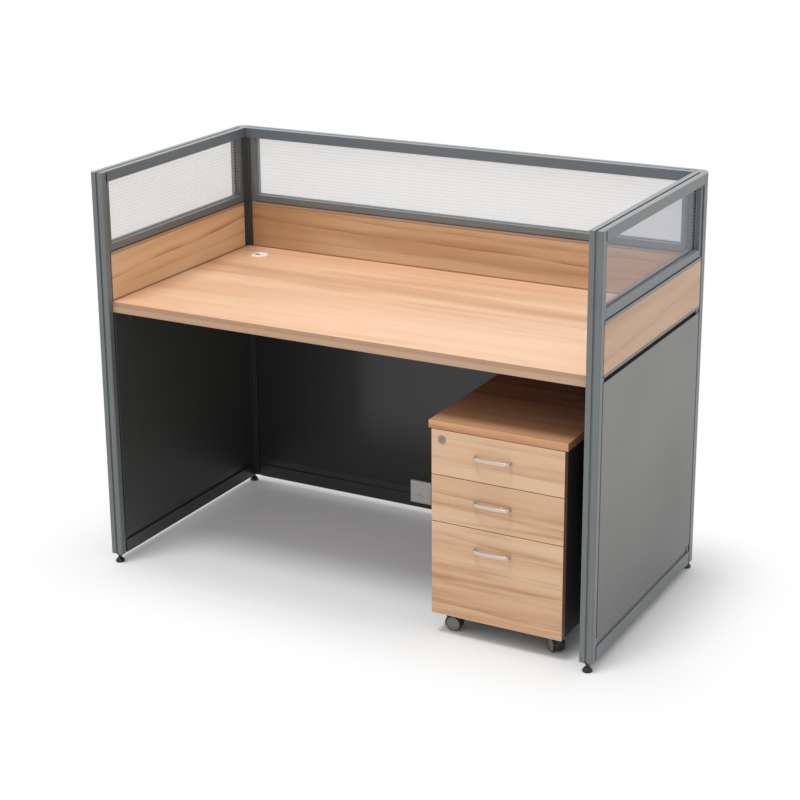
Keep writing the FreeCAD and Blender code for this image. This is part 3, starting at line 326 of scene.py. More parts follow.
# A vein is its height above the floor, its slope and its strength
backWood = woodFinish(
    "backTileLaminate", 0, (1.4, 0.2, 3.1), (0.73, 0.76, 0.71), streaks=0.6, lines=0.3, width=1.2,
    # Painted shade: the back board is darker towards its left end
    paint=faded(0, -0.30, -0.58, edging["backPaintedShade"], 0.5),
    veins=[(0.822, -0.02, 0.85), (0.857, -0.012, 0.5), (0.786, 0.01, 0.35)],
)
leftWood = woodFinish(
    "leftTileLaminate", quarter, (2.4, 1.3, 0.7), (0.92, 0.98, 0.92), streaks=0.55, lines=0.3, width=1.2,
    # Painted shade: the left board is darker towards its front end
    paint=faded(1, 0.05, -0.28, edging["leftPaintedShade"], 0.42),
    veins=[(0.826, 0.035, 1.0), (0.79, 0.02, 0.5)],
)
rightWood = woodFinish(
    "rightTileLaminate", quarter, (4.1, 0.3, 2.2), (0.69, 0.69, 0.69), streaks=0.6, lines=0.15, width=1.2,
    veins=[(0.80, 0.05, 0.3)],
)
frontVeins = [
    (0.518, 0.03, 0.45), (0.482, -0.02, 0.5), (0.452, 0.04, 0.35), (0.395, -0.03, 0.45), (0.352, 0.02, 0.35),
    (0.285, -0.04, 0.5), (0.248, 0.02, 0.45), (0.205, -0.02, 0.35), (0.148, 0.03, 0.5), (0.105, -0.03, 0.4),
]
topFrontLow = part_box("top_drawer_front")[0].z
frontWood = woodFinish(
    "drawerFrontLaminate", 0, (5.2, 0.0, 1.9), (0.94, 0.955, 0.94), streaks=1.15, lines=0.5, width=0.8,
    paint=painted(
        # Painted highlights: pale lines along the right and bottom edges of the fronts
        (0.5, edging["arrisHighlight"], [(0, frontRight - edging["arrisWidth"], 9), (1, -1, frontPlane)]),
        (0.5, edging["arrisHighlight"], [(2, 0, frontLow + edging["arrisWidth"]), (1, -1, frontPlane)]),
        (0.25, edging["paleFront"], [(2, topFrontLow, 9), (1, -1, frontPlane + edging["frontEdge"])]),
        (1.0, edging["frontSide"], [(0, frontRight - edging["sideSkin"], 9), (1, frontPlane + edging["frontEdge"], 9)]),
    ),
    veins=frontVeins, tones=frontTones,
)
# Painted shade and light: the pedestal top is a darker, redder copy of the laminate, standing for the shade under the
# desk and the reddish light thrown onto it
topWood = woodFinish("pedestalTopLaminate", 0, (7.7, 2.0, 0.3), (0.72, 0.585, 0.48), streaks=0.8, lines=0.3)


def coatFinish(name, paint):
    # Powder coat: an even colour with a fine orange-peel skin and faint rubbing
    finish, tree, shader = newMaterial(name)
    flat = place(tree)
    cloud = noise(tree, flat, coat["cloudScale"], 4.0)
    grit = noise(tree, flat, coat["gritScale"], 2.0)
    base = linear(*coat["tone"])
    darker = (*[value * (1 - coat["variation"]) for value in base[:3]], 1)
    lighter = (*[value * (1 + coat["variation"]) for value in base[:3]], 1)
    colour = mixColour(tree, spread(tree, cloud, 0.3, 0.7, 0, 1), darker, lighter)
    colour = mixColour(tree, spread(tree, grit, 0.35, 0.65, 0, 0.35), colour, lighter)
    colour = paint(tree, colour)
    tree.links.new(colour, shader.inputs["Base Color"])
    glossSpread = coat["glossSpread"]
    rough = calc(tree, "ADD", calc(tree, "MULTIPLY", cloud, glossSpread), coat["rough"] - glossSpread / 2)
    tree.links.new(rough, shader.inputs["Roughness"])
    shader.inputs["Specular IOR Level"].default_value = coat["specular"]
    bump(tree, shader, grit, coat["bump"], coat["bumpDepth"])
    return finish


# Painted shade: the knee-space side of the lower frame is painted dark grey for the shade under the desk, and the slots
# are painted very dark inside for the shade in them
coat = {
    "tone": (104, 108, 109), "rough": 0.36, "glossSpread": 0.1, "specular": 0.6, "bump": 0.06, "bumpDepth": 0.0002,
    "variation": 0.088, "cloudScale": 5.0, "gritScale": 900.0,
    "middle": 0.697, "middleBack": 0.342, "trimBack": -0.3415, "inner": 0.6799, "innerBack": 0.3249,
    "paintedKneeShade": (50, 52, 54), "deskBase": 0.7205, "paintedSlotShade": (12, 12, 13), "slot": (0.7338, 0.7467),
    "seam": (168, 122, 90), "seamHeights": (0.7467, 0.7526), "paintedLight": (141, 145, 147), "top": 1.0992,
    "outerRight": 0.7142, "coolShade": (90, 102, 112), "glazed": (0.86, 1.0992),
    "strip": (172, 138, 112), "stripHeights": (0.8755, 0.8829),
    "ledge": (152, 157, 162), "ledgeHeights": (0.9036, 0.9044),
    "corner": (60, 61, 62), "cornerX": (0.6624, 0.6827), "cornerY": (0.3074, 0.3275), "cornerHeights": (0.75, 1.0719),
}
middleSpace = [(0, -coat["middle"], coat["middle"]), (1, coat["trimBack"], coat["middleBack"])]
kneeSpace = middleSpace + [(2, 0, coat["deskBase"])]
deskSeam = middleSpace + [(2, *coat["seamHeights"])]
# Painted shade: the inner rear corners of the frame are darker
cornerPaintedShade = []
for sign in (-1, 1):
    span = sorted(sign * edge for edge in coat["cornerX"])
    cornerPaintedShade.append((0.85, coat["corner"], [(0, *span), (1, *coat["cornerY"]), (2, *coat["cornerHeights"])]))
# Painted light: the tops of the top rails and the outer right faces of the rails are paler
paintedLitTops = (0.95, coat["paintedLight"], [(2, coat["top"], 2)])
paintedLitSide = (0.27, coat["paintedLight"], [(0, coat["outerRight"], 2)])
within = [(0, -coat["inner"], coat["inner"]), (1, coat["trimBack"], coat["innerBack"])]
# Painted shade: the inner faces of the glazed rails are darker and cooler, which also takes out the warm light the wood
# throws on them
innerRailsPaintedShade = (0.7, coat["coolShade"], within + [(2, *coat["glazed"])])
innerStrip = (1.0, coat["strip"], within + [(2, *coat["stripHeights"])])
# Painted light: the narrow top face beside the glass is paler, though the top rail shades it
ledge = (0.75, coat["ledge"], [(2, *coat["ledgeHeights"])])
frameCoat = coatFinish("frameCoat", painted(
    (1.0, coat["paintedKneeShade"], kneeSpace), innerRailsPaintedShade, *cornerPaintedShade, paintedLitTops,
))
railCoat = coatFinish("railCoat", painted(
    (1.0, coat["paintedKneeShade"], kneeSpace), paintedLitSide, innerRailsPaintedShade, innerStrip, ledge, (1.0, coat["seam"], deskSeam),
    # Painted shade: very dark inside the slots
    (1.0, coat["paintedSlotShade"], [(2, *coat["slot"])]),
))


boardLook = {
    "gritScale": 1300.0, "cloudScale": 3.0, "low": 0.08, "high": 0.72, "glossSpread": 0.15,
    "bump": 0.14, "bumpDepth": 0.0003, "dust": 0.05,
}


def boardFinish(name, lowColour, highColour, rough):
    # Boards in a fine textured melamine, with one tone near the floor and another below the desk
    finish, tree, shader = newMaterial(name)
    rise = spread(tree, axes(tree)[2], boardLook["low"], boardLook["high"], 0, 1)
    grit = noise(tree, place(tree), boardLook["gritScale"], 2.0)
    cloud = noise(tree, place(tree), boardLook["cloudScale"], 3.0)
    colour = mixColour(tree, rise, linear(*lowColour), linear(*highColour))
    colour = mixColour(tree, calc(tree, "MULTIPLY", cloud, 0.12), colour, (0, 0, 0, 1))
    colour = mixColour(tree, spread(tree, grit, 0.4, 0.7, 0, 0.12), colour, (1, 1, 1, 1))
    tree.links.new(colour, shader.inputs["Base Color"])
    uneven = calc(tree, "ADD", calc(tree, "MULTIPLY", cloud, boardLook["glossSpread"]), rough)
    tree.links.new(uneven, shader.inputs["Roughness"])
    bump(tree, shader, grit, boardLook["bump"], boardLook["bumpDepth"])
    return finish, tree, shader


def lowerBoardFinish(name, lowColour, highColour, paintedReflection=None):
    # The outside of the lower boards is mid grey; the knee-space side is painted dark, as painted shade under the desk
    outer = {"low": (88, 88, 87), "high": (114, 113, 108), "rough": 0.34}
    finish, tree, shader = boardFinish(name, outer["low"], outer["high"], outer["rough"])
    across, depth, height = axes(tree)
    inner = calc(tree, "LESS_THAN", calc(tree, "ABSOLUTE", across), coat["middle"])
    inner = calc(tree, "MULTIPLY", inner, calc(tree, "LESS_THAN", depth, coat["middleBack"]))
    outerColour = shader.inputs["Base Color"].links[0].from_socket
    rise = spread(tree, height, boardLook["low"], boardLook["high"], 0, 1)
    innerColour = mixColour(tree, rise, linear(*lowColour), linear(*highColour))
    # Painted reflection: a paler band across the knee-space side of the back board
    if paintedReflection:
        reach = spread(tree, across, *paintedReflection["across"], 0, 1)
        reach = calc(tree, "MULTIPLY", reach, spread(tree, height, *paintedReflection["height"], 0, 1))
        innerColour = mixColour(tree, reach, innerColour, linear(*paintedReflection["tone"]))
    dust = calc(tree, "MULTIPLY", noise(tree, place(tree), boardLook["gritScale"]), boardLook["dust"])
    innerColour = mixColour(tree, dust, innerColour, (0.3, 0.3, 0.3, 1))
    tree.links.new(mixColour(tree, inner, outerColour, innerColour), shader.inputs["Base Color"])
    return finish


# Painted shade: the knee-space tones of the side and back boards, low and high
lowerBoards = lowerBoardFinish("sideLowerBoards", (52, 53, 52), (63, 64, 61))
backLowerBoards = lowerBoardFinish(
    "backLowerBoards", (31, 32, 32), (25, 26, 26),
    paintedReflection={"tone": (70, 71, 71), "across": (-0.345, -0.255), "height": (0.16, 0.33)},
)
carcassBoard = boardFinish("carcassBoard", (20, 20, 21), (26, 26, 27), rough=0.45)[0]
drawerBoard = boardFinish("drawerBoard", (196, 192, 184), (204, 200, 192), rough=0.5)[0]


def glassFinish(name, hazeTone, mouths=False):
    # Reeded glass: hazy, with fine ribs along the run; beside the rear stile of a side pane the rib ends are painted as
    # dark dots, painted shade
    look = {"clear": 0.232, "rib": 0.036, "rough": 0.14, "index": 1.5, "mouthStart": 0.2902, "mouth": (48, 50, 52)}
    finish, tree, shader = newMaterial(name)
    depth, height = axes(tree)[1:]
    wave = calc(tree, "SINE", calc(tree, "MULTIPLY", height, 2 * math.pi / reed["pitch"]))
    cloud = noise(tree, place(tree), 9.0, 2.0)
    haze = linear(*hazeTone)
    tint = mixColour(tree, cloud, haze, (*[value * 1.1 for value in haze[:3]], 1))
    alpha = calc(tree, "MULTIPLY", spread(tree, wave, -0.4, 1.0, 0, 1), look["rib"])
    alpha = calc(tree, "ADD", calc(tree, "ADD", alpha, look["clear"]), calc(tree, "MULTIPLY", cloud, 0.05))
    if mouths:
        # Painted shade: dark dots where the ribs end
        dots = calc(tree, "GREATER_THAN", depth, look["mouthStart"])
        dots = calc(tree, "MULTIPLY", dots, spread(tree, wave, -0.5, 0.1, 0, 1))
        tint = mixColour(tree, dots, tint, linear(*look["mouth"]))
        alpha = calc(tree, "MAXIMUM", alpha, calc(tree, "MULTIPLY", dots, 0.8))
    tree.links.new(tint, shader.inputs["Base Color"])
    tree.links.new(alpha, shader.inputs["Alpha"])
    tree.links.new(calc(tree, "ADD", calc(tree, "MULTIPLY", cloud, 0.06), look["rough"]), shader.inputs["Roughness"])
    shader.inputs["IOR"].default_value = look["index"]
    return finish


reed = {"pitch": 0.009, "depth": 0.0008, "stepsPerRib": 6}
reededGlass = {
    "left": glassFinish("leftReededGlass", (200, 203, 203), True),
    "back": glassFinish("backReededGlass", (208, 213, 216)),
    "right": glassFinish("rightReededGlass", (144, 152, 163), True),
}


def plasticFinish(name, tone, rough, variation=0.12, paint=None):
    # Moulded plastic: a light spark-eroded texture and uneven gloss
    moulded = {"gritScale": 700.0, "cloudScale": 30.0, "glossSpread": 0.16, "bump": 0.08, "bumpDepth": 0.0003}
    finish, tree, shader = newMaterial(name)
    grit = noise(tree, place(tree), moulded["gritScale"], 3.0)
    cloud = noise(tree, place(tree), moulded["cloudScale"], 3.0)
    base = linear(*tone)
    darker = (*[value * (1 - variation) for value in base[:3]], 1)
    colour = mixColour(tree, cloud, base, darker)
    if paint:
        colour = paint(tree, colour)
    tree.links.new(colour, shader.inputs["Base Color"])
    glossSpread = moulded["glossSpread"]
    uneven = calc(tree, "ADD", calc(tree, "MULTIPLY", grit, glossSpread), rough - glossSpread / 2)
    tree.links.new(uneven, shader.inputs["Roughness"])
    bump(tree, shader, grit, moulded["bump"], moulded["bumpDepth"])
    return finish


gasketRubber = plasticFinish("gasketRubber", (140, 144, 146), rough=0.6)
footPlastic = plasticFinish("footPlastic", (18, 18, 19), rough=0.3)
grommetPlastic = plasticFinish("grommetPlastic", (255, 255, 254), rough=0.35, variation=0.02)
socketPlastic = plasticFinish("socketPlastic", (246, 246, 245), rough=0.35, variation=0.03)
castorHousing = plasticFinish("castorHousing", (26, 26, 27), rough=0.35)
castorWheel = plasticFinish("castorWheel", (46, 47, 48), rough=0.4)
castorDisc = plasticFinish("castorDisc", (124, 125, 124), rough=0.45)
grommetPaintedShade = plasticFinish("grommetPaintedShade", (24, 24, 24), rough=0.6)


def capFinish():
    # Painted shade: the cap's notch is painted dark inside, like the shade in the hole under it
    notch = {"tone": (22, 22, 22), "reach": 0.0011, "back": 0.0165, "half": 0.0051, "rim": 0.0003}
    low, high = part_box("grommet_cap")
    middle = (low + high) / 2
    centre = high.x - (high.y - low.y) / 2
    inside = [
        (0, centre - notch["back"], centre + notch["reach"]),
        (1, middle.y - notch["half"], middle.y + notch["half"]), (2, 0, high.z - notch["rim"]),
    ]
    paint = painted((1.0, notch["tone"], inside))
    return plasticFinish("grommetCap", (255, 255, 254), 0.35, variation=0.02, paint=paint)


capPlastic = capFinish()


def metalFinish(name, tone, rough, brush=(1, 1, 1), scratches=0.1, metallic=1.0):
    # Bare or plated metal with brushed streaks or fine scratches
    worn = {"streakScale": 260.0, "markScale": 60.0, "glossSpread": 0.12, "bump": 0.05, "bumpDepth": 0.0001}
    finish, tree, shader = newMaterial(name)
    streaks = noise(tree, place(tree, brush), worn["streakScale"], 4.0)
    marks = noise(tree, place(tree), worn["markScale"], 5.0, 0.7)
    base = linear(*tone)
    darker = (*[value * (1 - scratches) for value in base[:3]], 1)
    tree.links.new(mixColour(tree, marks, base, darker), shader.inputs["Base Color"])
    uneven = calc(tree, "ADD", calc(tree, "MULTIPLY", streaks, worn["glossSpread"]), rough)
    tree.links.new(uneven, shader.inputs["Roughness"])
    shader.inputs["Metallic"].default_value = metallic
    bump(tree, shader, streaks, worn["bump"], worn["bumpDepth"])
    return finish


bracketSteel = metalFinish("bracketSteel", (170, 172, 176), rough=0.32)
runnerSteel = metalFinish("runnerSteel", (176, 178, 182), rough=0.28, brush=(1, 0.05, 1))
handleChrome = metalFinish("handleChrome", (208, 196, 189), rough=0.2, brush=(0.1, 1, 1), scratches=0.05, metallic=0.8)
lockMetal = metalFinish("lockMetal", (150, 148, 142), rough=0.28)
print("finishes made:", len(bpy.data.materials))

finishOf = {
    "frame_coat": frameCoat, "wood_laminate": frontWood, "grey_board": lowerBoards, "ribbed_glass": reededGlass["back"],
    "gasket_rubber": gasketRubber, "foot_plastic": footPlastic, "bracket_steel": bracketSteel,
    "grommet_plastic": grommetPlastic, "socket_plastic": socketPlastic, "carcass_board": carcassBoard,
    "drawer_board": drawerBoard, "runner_steel": runnerSteel, "handle_chrome": handleChrome,
    "lock_metal": lockMetal, "castor_housing": castorHousing, "castor_wheel": castorWheel,
}
for row in frame["record"]["subparts"]:
    dress(row["node"], finishOf[row["material_slot"]])
dress("desk_top", deskWood)
dress("back_wood_tiles", backWood)
dress("back_lower_tiles", backLowerBoards)
dress("pedestal_top", topWood)
dress("grommet_cap", capPlastic)
dress("left_wood_tiles", leftWood)
dress("right_wood_tiles", rightWood)
for side in sides:
    dress(side + "_cross_rails", railCoat)


# Widths of the broken edges, by a part of the node's name
softening = {
    "_stiles": 0.0006, "_top_rail": 0.0005, "_cross_rails": 0.0005, "_bottom_rail": 0.0006,
    "_corner_post": 0.0008, "corner_caps": 0.001, "end_trims": 0.0008, "desk_top": 0.0006,
    "power_socket": 0.0008, "pedestal_sides": 0.0005, "castor_fork": 0.0006, "lock_housing": 0.0007,
    "grommet_cap": 0.0006, "_drawer_box": 0.0004,
}


def soften(node, width):
    # Joins the loose triangles into whole faces and breaks their sharp edges
    limits = {"weld": 0.00001, "flat": 0.4, "sharp": 35, "segments": 2}
    piece = parts[node]
    weld = piece.modifiers.new("weld", "WELD")
    weld.merge_threshold = limits["weld"]
    flatten = piece.modifiers.new("flatten", "DECIMATE")
    flatten.decimate_type = "DISSOLVE"
    flatten.angle_limit = math.radians(limits["flat"])
    edge = piece.modifiers.new("edge", "BEVEL")
    edge.width = width
    edge.segments = limits["segments"]
    edge.limit_method = "ANGLE"
    edge.angle_limit = math.radians(limits["sharp"])
    edge.use_clamp_overlap = True


for node in parts:
    for family, width in softening.items():
        if family in node:
            soften(node, width)
print("edges softened")

smoothBelow = math.radians(38)


def finishPiece(shape, name, body, finishes, node):
    # Turns a bmesh into a piece that rides on a body and stands for a CAD node
    bmesh.ops.remove_doubles(shape, verts=shape.verts, dist=samePoint)
    bmesh.ops.recalc_face_normals(shape, faces=shape.faces)
    mesh = bpy.data.meshes.new(name)
    shape.to_mesh(mesh)
    shape.free()
    for finish in finishes:
        mesh.materials.append(finish)
    mesh.polygons.foreach_set("use_smooth", [True] * len(mesh.polygons))
    mesh.set_sharp_from_angle(angle=smoothBelow)
    piece = bpy.data.objects.new(name, mesh)
    bpy.context.scene.collection.objects.link(piece)
    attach(piece, body)
    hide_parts(node)


def grownParts(grown, kind):
    return [item for item in grown["geom"] if isinstance(item, kind)]


def spun(profile, steps):
    # A profile of (radius, height) pairs, spun about Z through the origin
    shape = bmesh.new()
    rim = [shape.verts.new((radius, 0, height)) for radius, height in profile]
    for first, second in zip(rim, rim[1:]):
        shape.edges.new((first, second))
    bmesh.ops.spin(
        shape, geom=shape.verts[:] + shape.edges[:], cent=(0, 0, 0), axis=(0, 0, 1),
        angle=2 * math.pi, steps=steps, use_merge=True,
    )
    bmesh.ops.remove_doubles(shape, verts=shape.verts, dist=samePoint)
    return shape


def rounded(points, radius):
    # Rounds the sharp corners of an open profile, apart from its ends
    shape = bmesh.new()
    chain = [shape.verts.new((x, 0, z)) for x, z in points]
    for first, second in zip(chain, chain[1:]):
        shape.edges.new((first, second))
    bmesh.ops.bevel(
        shape, geom=chain[1:-1], offset=radius, offset_type="OFFSET", segments=cornerSteps,
        profile=0.5, affect="VERTICES", material=-1, clamp_overlap=True,
    )
    ends = [vert for vert in shape.verts if len(vert.link_edges) == 1]
    start = min(ends, key=lambda vert: (vert.co - Vector((points[0][0], 0, points[0][1]))).length)
    ordered, previous, here = [], None, start
    while here is not None:
        ordered.append((here.co.x, here.co.z))
        onward = [edge.other_vert(here) for edge in here.link_edges if edge.other_vert(here) is not previous]
        previous, here = here, (onward[0] if onward else None)
    shape.free()
    return ordered


foot = {
    "pad": 0.0126, "toe": 0.0008, "rim": 0.0028, "neck": 0.0052, "neckHeight": 0.0126, "stud": 0.004,
    "nut": 0.0075, "nutBase": 0.0208, "nutHeight": 0.005, "steps": 48,
    "dome": ((0.96, 0.0048), (0.86, 0.0072), (0.72, 0.0094), (0.56, 0.0112)),  # share of the pad's radius, height
}


def makeFoot(corner):
    # A domed glide with a hexagon nut and a stud
    low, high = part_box("foot_" + corner)
    pad, neck, stud = foot["pad"], foot["neck"], foot["stud"]
    glide = [(0, 0), (pad - foot["toe"], 0), (pad, foot["toe"]), (pad, foot["rim"])]
    glide += [(pad * share, height) for share, height in foot["dome"]]
    glide += [
        (neck, foot["neckHeight"]), (neck, foot["nutBase"]), (stud, foot["nutBase"]), (stud, high.z), (0, high.z),
    ]
    shape = spun(glide, foot["steps"])
    nut = bmesh.ops.create_cone(
        shape, cap_ends=True, segments=6, radius1=foot["nut"], radius2=foot["nut"], depth=foot["nutHeight"],
    )
    bmesh.ops.translate(shape, verts=nut["verts"], vec=(0, 0, foot["nutBase"] + foot["nutHeight"] / 2))
    bmesh.ops.translate(shape, verts=shape.verts, vec=((low.x + high.x) / 2, (low.y + high.y) / 2, 0))
    body = "foot_%s_body" % corner
    finishPiece(shape, "glide_" + corner, body, [footPlastic], "foot_" + corner)


for corner in corners:
    makeFoot(corner)
print("feet made")

castor = {
    "radius": 0.0195, "width": 0.012, "near": 0.0044, "axle": 0.003, "edge": 0.0024,
    "discStart": 0.8, "discDepth": 0.0015, "steps": 56,
    "disc": ((0.79, 0.0009), (0.74, 0.0005), (0.5, 0.0003), (0.2, 0.0001)),  # share of the radius, depth
    "turns": {"front_left": 4.0, "front_right": 138.0, "back_left": 150.0, "back_right": 65.0},
}


def makeWheels(corner):
    # Two wheels with rounded treads and slightly domed discs on one axle
    near, far = castor["near"], castor["near"] + castor["width"]
    radius = castor["radius"]
    outline = [(castor["axle"], near), (radius, near), (radius, far), (radius * castor["discStart"], far)]
    tread = rounded(outline, castor["edge"])
    disc = [(radius * share, far - depth) for share, depth in castor["disc"]] + [(0, far)]
    shape = spun([(0, 0), (castor["axle"], 0)] + tread + disc, castor["steps"])
    bmesh.ops.recalc_face_normals(shape, faces=shape.faces)
    for face in shape.faces:
        if face.calc_center_median().z > far - castor["discDepth"] and face.normal.z > 0.9:
            face.material_index = 1
    bmesh.ops.mirror(shape, geom=shape.verts[:] + shape.edges[:] + shape.faces[:], merge_dist=-1, axis="Z")
    swivel = Matrix.Rotation(math.radians(castor["turns"][corner]), 3, "Z")
    bmesh.ops.rotate(shape, verts=shape.verts, cent=(0, 0, 0), matrix=swivel @ Matrix.Rotation(quarter, 3, "X"))
    low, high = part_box("castor_wheels_" + corner)
    bmesh.ops.translate(shape, verts=shape.verts, vec=(low + high) / 2)
    body = "castor_%s_wheels" % corner
    finishPiece(shape, "wheels_" + corner, body, [castorWheel, castorDisc], "castor_wheels_" + corner)


for corner in corners:
    makeWheels(corner)
print("wheels made")


bow = {
    "bar": 0.004, "foot": 0.006, "lean": 0.0035, "crown": 0.004, "crownLength": 0.02, "crownSteps": 10,
    "elbow": 0.010, "elbowSteps": 8, "edge": 0.0014, "sharp": 1.0,  # radians
}


def roundCorners(shape, verts, offset, segments):
    bmesh.ops.bevel(
        shape, geom=verts, offset=offset, offset_type="OFFSET", segments=segments,
        profile=0.5, affect="VERTICES", material=-1,
    )


def makeHandle(drawer):
    # A bow of flat bar with rounded elbows and a slight crown
    low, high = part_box(drawer + "_drawer_handle")
    half = (high.x - low.x) / 2
    reach = high.y - low.y
    shoulder = reach - bow["crown"]
    outer = [(half, 0), (half - bow["lean"], -shoulder), (0, -reach), (bow["lean"] - half, -shoulder), (-half, 0)]
    inner = [
        (bow["foot"] - half, 0), (bow["lean"] + bow["foot"] - half, bow["bar"] - shoulder), (0, bow["bar"] - reach),
        (half - bow["foot"] - bow["lean"], bow["bar"] - shoulder), (half - bow["foot"], 0),
    ]
    shape = bmesh.new()
    ring = [shape.verts.new((x, y, 0)) for x, y in outer + inner]
    shape.faces.new(ring)
    outerElbow, innerElbow = bow["elbow"], bow["elbow"] - bow["bar"]
    for vert, offset in ((ring[1], outerElbow), (ring[3], outerElbow), (ring[6], innerElbow), (ring[8], innerElbow)):
        roundCorners(shape, [vert], offset, bow["elbowSteps"])
    crowns = [vert for vert in shape.verts if abs(vert.co.x) < samePlane]
    roundCorners(shape, crowns, bow["crownLength"], bow["crownSteps"])
    raised = grownParts(bmesh.ops.extrude_face_region(shape, geom=shape.faces[:]), bmesh.types.BMVert)
    bmesh.ops.translate(shape, verts=raised, vec=(0, 0, high.z - low.z))
    bmesh.ops.recalc_face_normals(shape, faces=shape.faces)
    rims = []
    for edge in shape.edges:
        first, second = [vert.co for vert in edge.verts]
        level = abs(first.z - second.z) < samePlane
        clearOfDrawer = min(first.y, second.y) < -samePlane
        if level and clearOfDrawer and len(edge.link_faces) == 2 and edge.calc_face_angle() > bow["sharp"]:
            rims.append(edge)
    bmesh.ops.bevel(
        shape, geom=rims, offset=bow["edge"], offset_type="OFFSET", segments=cornerSteps,
        profile=0.5, affect="EDGES", material=-1,
    )
    bmesh.ops.translate(shape, verts=shape.verts, vec=((low.x + high.x) / 2, high.y, low.z))
    body, node = drawer + "_drawer", drawer + "_drawer_handle"
    finishPiece(shape, drawer + "Bow", body, [handleChrome], node)


for drawer in ("top", "middle", "file"):
    makeHandle(drawer)
print("handles made")


ring = {"bore": 0.017, "seat": 0.019, "sleeve": 0.021, "lip": 0.0019, "step": 0.0032, "edge": 0.0005, "steps": 72}


def makeGrommetRing():
    # A flat rounded flange over a sleeve whose inside is painted dark, as painted shade in the hole
    low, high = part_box("grommet_ring")
    top, radius = high.z, (high.x - low.x) / 2
    step, lip = top - ring["step"], top - ring["lip"]
    shape = spun(rounded([
        (ring["bore"], low.z), (ring["bore"], step), (ring["seat"], step), (ring["seat"], top), (radius, top),
        (radius, lip), (ring["sleeve"], lip), (ring["sleeve"], low.z), (ring["bore"], low.z),
    ], ring["edge"]), ring["steps"])
    for face in shape.faces:
        middle = face.calc_center_median()
        if middle.xy.length < ring["seat"] - ring["edge"] and middle.z < step + samePlane:
            face.material_index = 1
    bmesh.ops.translate(shape, verts=shape.verts, vec=((low.x + high.x) / 2, (low.y + high.y) / 2, 0))
    finishes = [grommetPlastic, grommetPaintedShade]
    finishPiece(shape, "grommetCollar", "workstation_frame", finishes, "grommet_ring")


makeGrommetRing()
print("grommet made")


def makeGlass(side):
    # A pane whose outer face is drawn into ribs along its run
    low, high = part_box(side + "_glass")
    along = 0 if side == "back" else 1
    across = 1 - along
    outward = -1 if side == "left" else 1
    shape = bmesh.new()
    count = int((high.z - low.z) / reed["pitch"] * reed["stepsPerRib"])
    outerPlane = (high if outward > 0 else low)[across]
    innerPlane = (low if outward > 0 else high)[across]
    start = [0, 0, low.z]
    start[along] = low[along]
    corner = list(start)
    start[across], corner[across] = outerPlane, innerPlane
    first, second = shape.verts.new(start), shape.verts.new(corner)
    top = [shape.edges.new((first, second))]
    step = (high.z - low.z) / count
    for index in range(count):
        grown = bmesh.ops.extrude_edge_only(shape, edges=top)
        bmesh.ops.translate(shape, verts=grownParts(grown, bmesh.types.BMVert), vec=(0, 0, step))
        edges = grownParts(grown, bmesh.types.BMEdge)
        top = [edge for edge in edges if abs(edge.verts[0].co.z - edge.verts[1].co.z) < step / 2]
    for vert in shape.verts:
        if abs(vert.co[across] - outerPlane) < samePlane:
            wave = 0.5 - 0.5 * math.cos((vert.co.z - low.z) * 2 * math.pi / reed["pitch"])
            vert.co[across] -= outward * reed["depth"] * wave
    run = [0, 0, 0]
    run[along] = high[along] - low[along]
    grown = bmesh.ops.extrude_face_region(shape, geom=shape.faces[:])
    bmesh.ops.translate(shape, verts=grownParts(grown, bmesh.types.BMVert), vec=run)
    finishes = [reededGlass[side]]
    finishPiece(shape, side + "ReededPane", "workstation_frame", finishes, side + "_glass")


for side in sides:
    makeGlass(side)
print("glass made")


# Beyond a rectangle round the object the floor goes over to white, over the distance from near to far; within the
# rectangle the floor still glows at the least share, painted light that lightens the shade under the desk
stageLook = {
    "size": 14.0, "tone": 0.82, "rough": 0.75, "specular": 0.1, "half": (0.68, 0.26), "near": 0.0, "far": 0.38,
    "least": 0.13, "cover": 0.12, "covered": (0.2, 0.58), "samples": 48,
}
shape = bmesh.new()
bmesh.ops.create_grid(shape, x_segments=1, y_segments=1, size=stageLook["size"])
floorMesh = bpy.data.meshes.new("floor")
shape.to_mesh(floorMesh)
shape.free()
floor = bpy.data.objects.new("floor", floorMesh)
bpy.context.scene.collection.objects.link(floor)


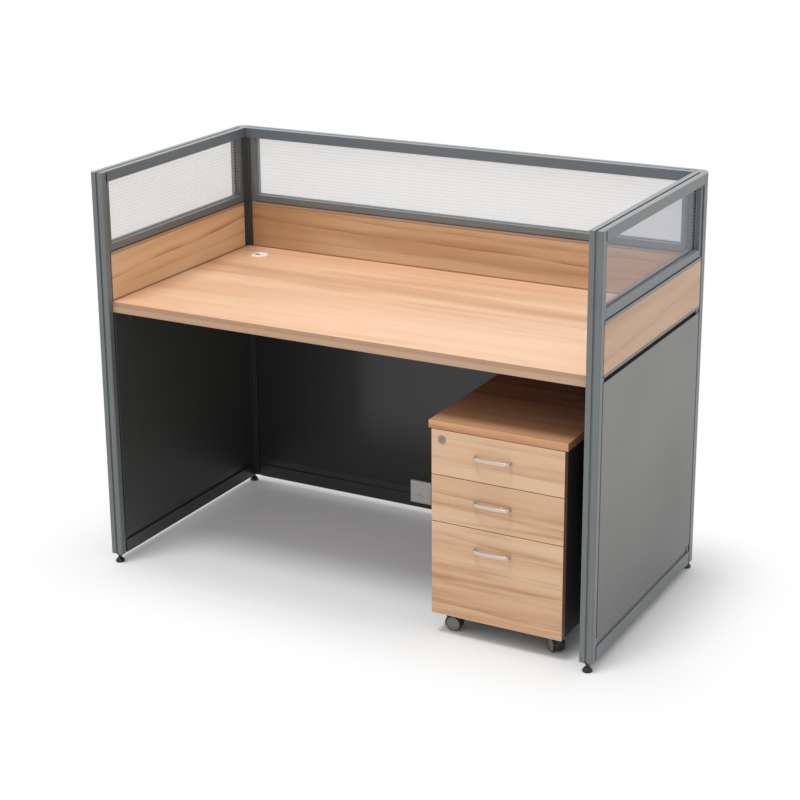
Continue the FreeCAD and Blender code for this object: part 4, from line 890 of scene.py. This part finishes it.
def floorFinish():
    # A pale floor that goes over to white around the object, for the camera and in reflections
    finish, tree, shader = newMaterial("paleFloor")
    beyond = [
        calc(tree, "MAXIMUM", calc(tree, "SUBTRACT", calc(tree, "ABSOLUTE", value), half), 0.0)
        for value, half in zip(axes(tree)[:2], stageLook["half"])
    ]
    away = calc(tree, "SQRT", calc(tree, "ADD", *[calc(tree, "POWER", value, 2.0) for value in beyond]))
    fade = spread(tree, away, stageLook["near"], stageLook["far"], stageLook["least"], 1)
    # No glow where something stands close above the floor, as the pedestal does
    clear = add(
        tree, "ShaderNodeAmbientOcclusion", {"samples": stageLook["samples"]}, Distance=stageLook["cover"]
    ).outputs["AO"]
    fade = calc(tree, "MULTIPLY", fade, spread(tree, clear, *stageLook["covered"], 0, 1))
    shader.inputs["Base Color"].default_value = (stageLook["tone"], stageLook["tone"], stageLook["tone"], 1)
    shader.inputs["Roughness"].default_value = stageLook["rough"]
    shader.inputs["Specular IOR Level"].default_value = stageLook["specular"]
    glow = add(tree, "ShaderNodeEmission", Color=(1, 1, 1, 1), Strength=1.0)
    mixed = add(tree, "ShaderNodeMixShader")
    tree.links.new(calc(tree, "MULTIPLY", fade, seenStraight(tree)), mixed.inputs[0])
    tree.links.new(shader.outputs[0], mixed.inputs[1])
    tree.links.new(glow.outputs[0], mixed.inputs[2])
    output = [item for item in tree.nodes if item.type == "OUTPUT_MATERIAL"][0]
    tree.links.new(mixed.outputs[0], output.inputs["Surface"])
    return finish


floorMesh.materials.append(floorFinish())

# Angles are degrees here, and radians for the camera below
lamps = {"world": 0.75, "sun": 1.45, "angle": 16.0, "elevation": 72.0, "heading": -22.0}
world = bpy.data.worlds.new("studio")
bpy.context.scene.world = world
world.use_nodes = True
tree = world.node_tree
tree.nodes.clear()
level = calc(tree, "ADD", calc(tree, "MULTIPLY", seenStraight(tree), 1.0 - lamps["world"]), lamps["world"])
sky = add(tree, "ShaderNodeBackground", Color=(1, 1, 1, 1), Strength=level)
add(tree, "ShaderNodeOutputWorld", Surface=sky.outputs[0])

sunData = bpy.data.lights.new("key", "SUN")
sunData.energy = lamps["sun"]
sunData.angle = math.radians(lamps["angle"])
sun = bpy.data.objects.new("key", sunData)
bpy.context.scene.collection.objects.link(sun)
sun.rotation_euler = (math.radians(90 - lamps["elevation"]), 0, math.radians(lamps["heading"]))

view = {
    "place": (2.2517, -4.1652, 2.1272), "yaw": 0.51472, "pitch": -0.30128, "roll": -0.01277,
    "sensor": 36.0, "lens": 84.322, "shift": (0.043, -0.08),
}
cameraData = bpy.data.cameras.new("camera")
cameraData.sensor_width = view["sensor"]
cameraData.lens = view["lens"]
cameraData.shift_x, cameraData.shift_y = view["shift"]
camera = bpy.data.objects.new("camera", cameraData)
turn = Matrix.Rotation(view["yaw"], 3, "Z") @ Matrix.Rotation(quarter + view["pitch"], 3, "X")
turn = turn @ Matrix.Rotation(view["roll"], 3, "Z")
camera.matrix_world = Matrix.Translation(view["place"]) @ turn.to_4x4()
bpy.context.scene.collection.objects.link(camera)
bpy.context.scene.camera = camera
bpy.context.scene.view_settings.view_transform = "Standard"
print("room ready")
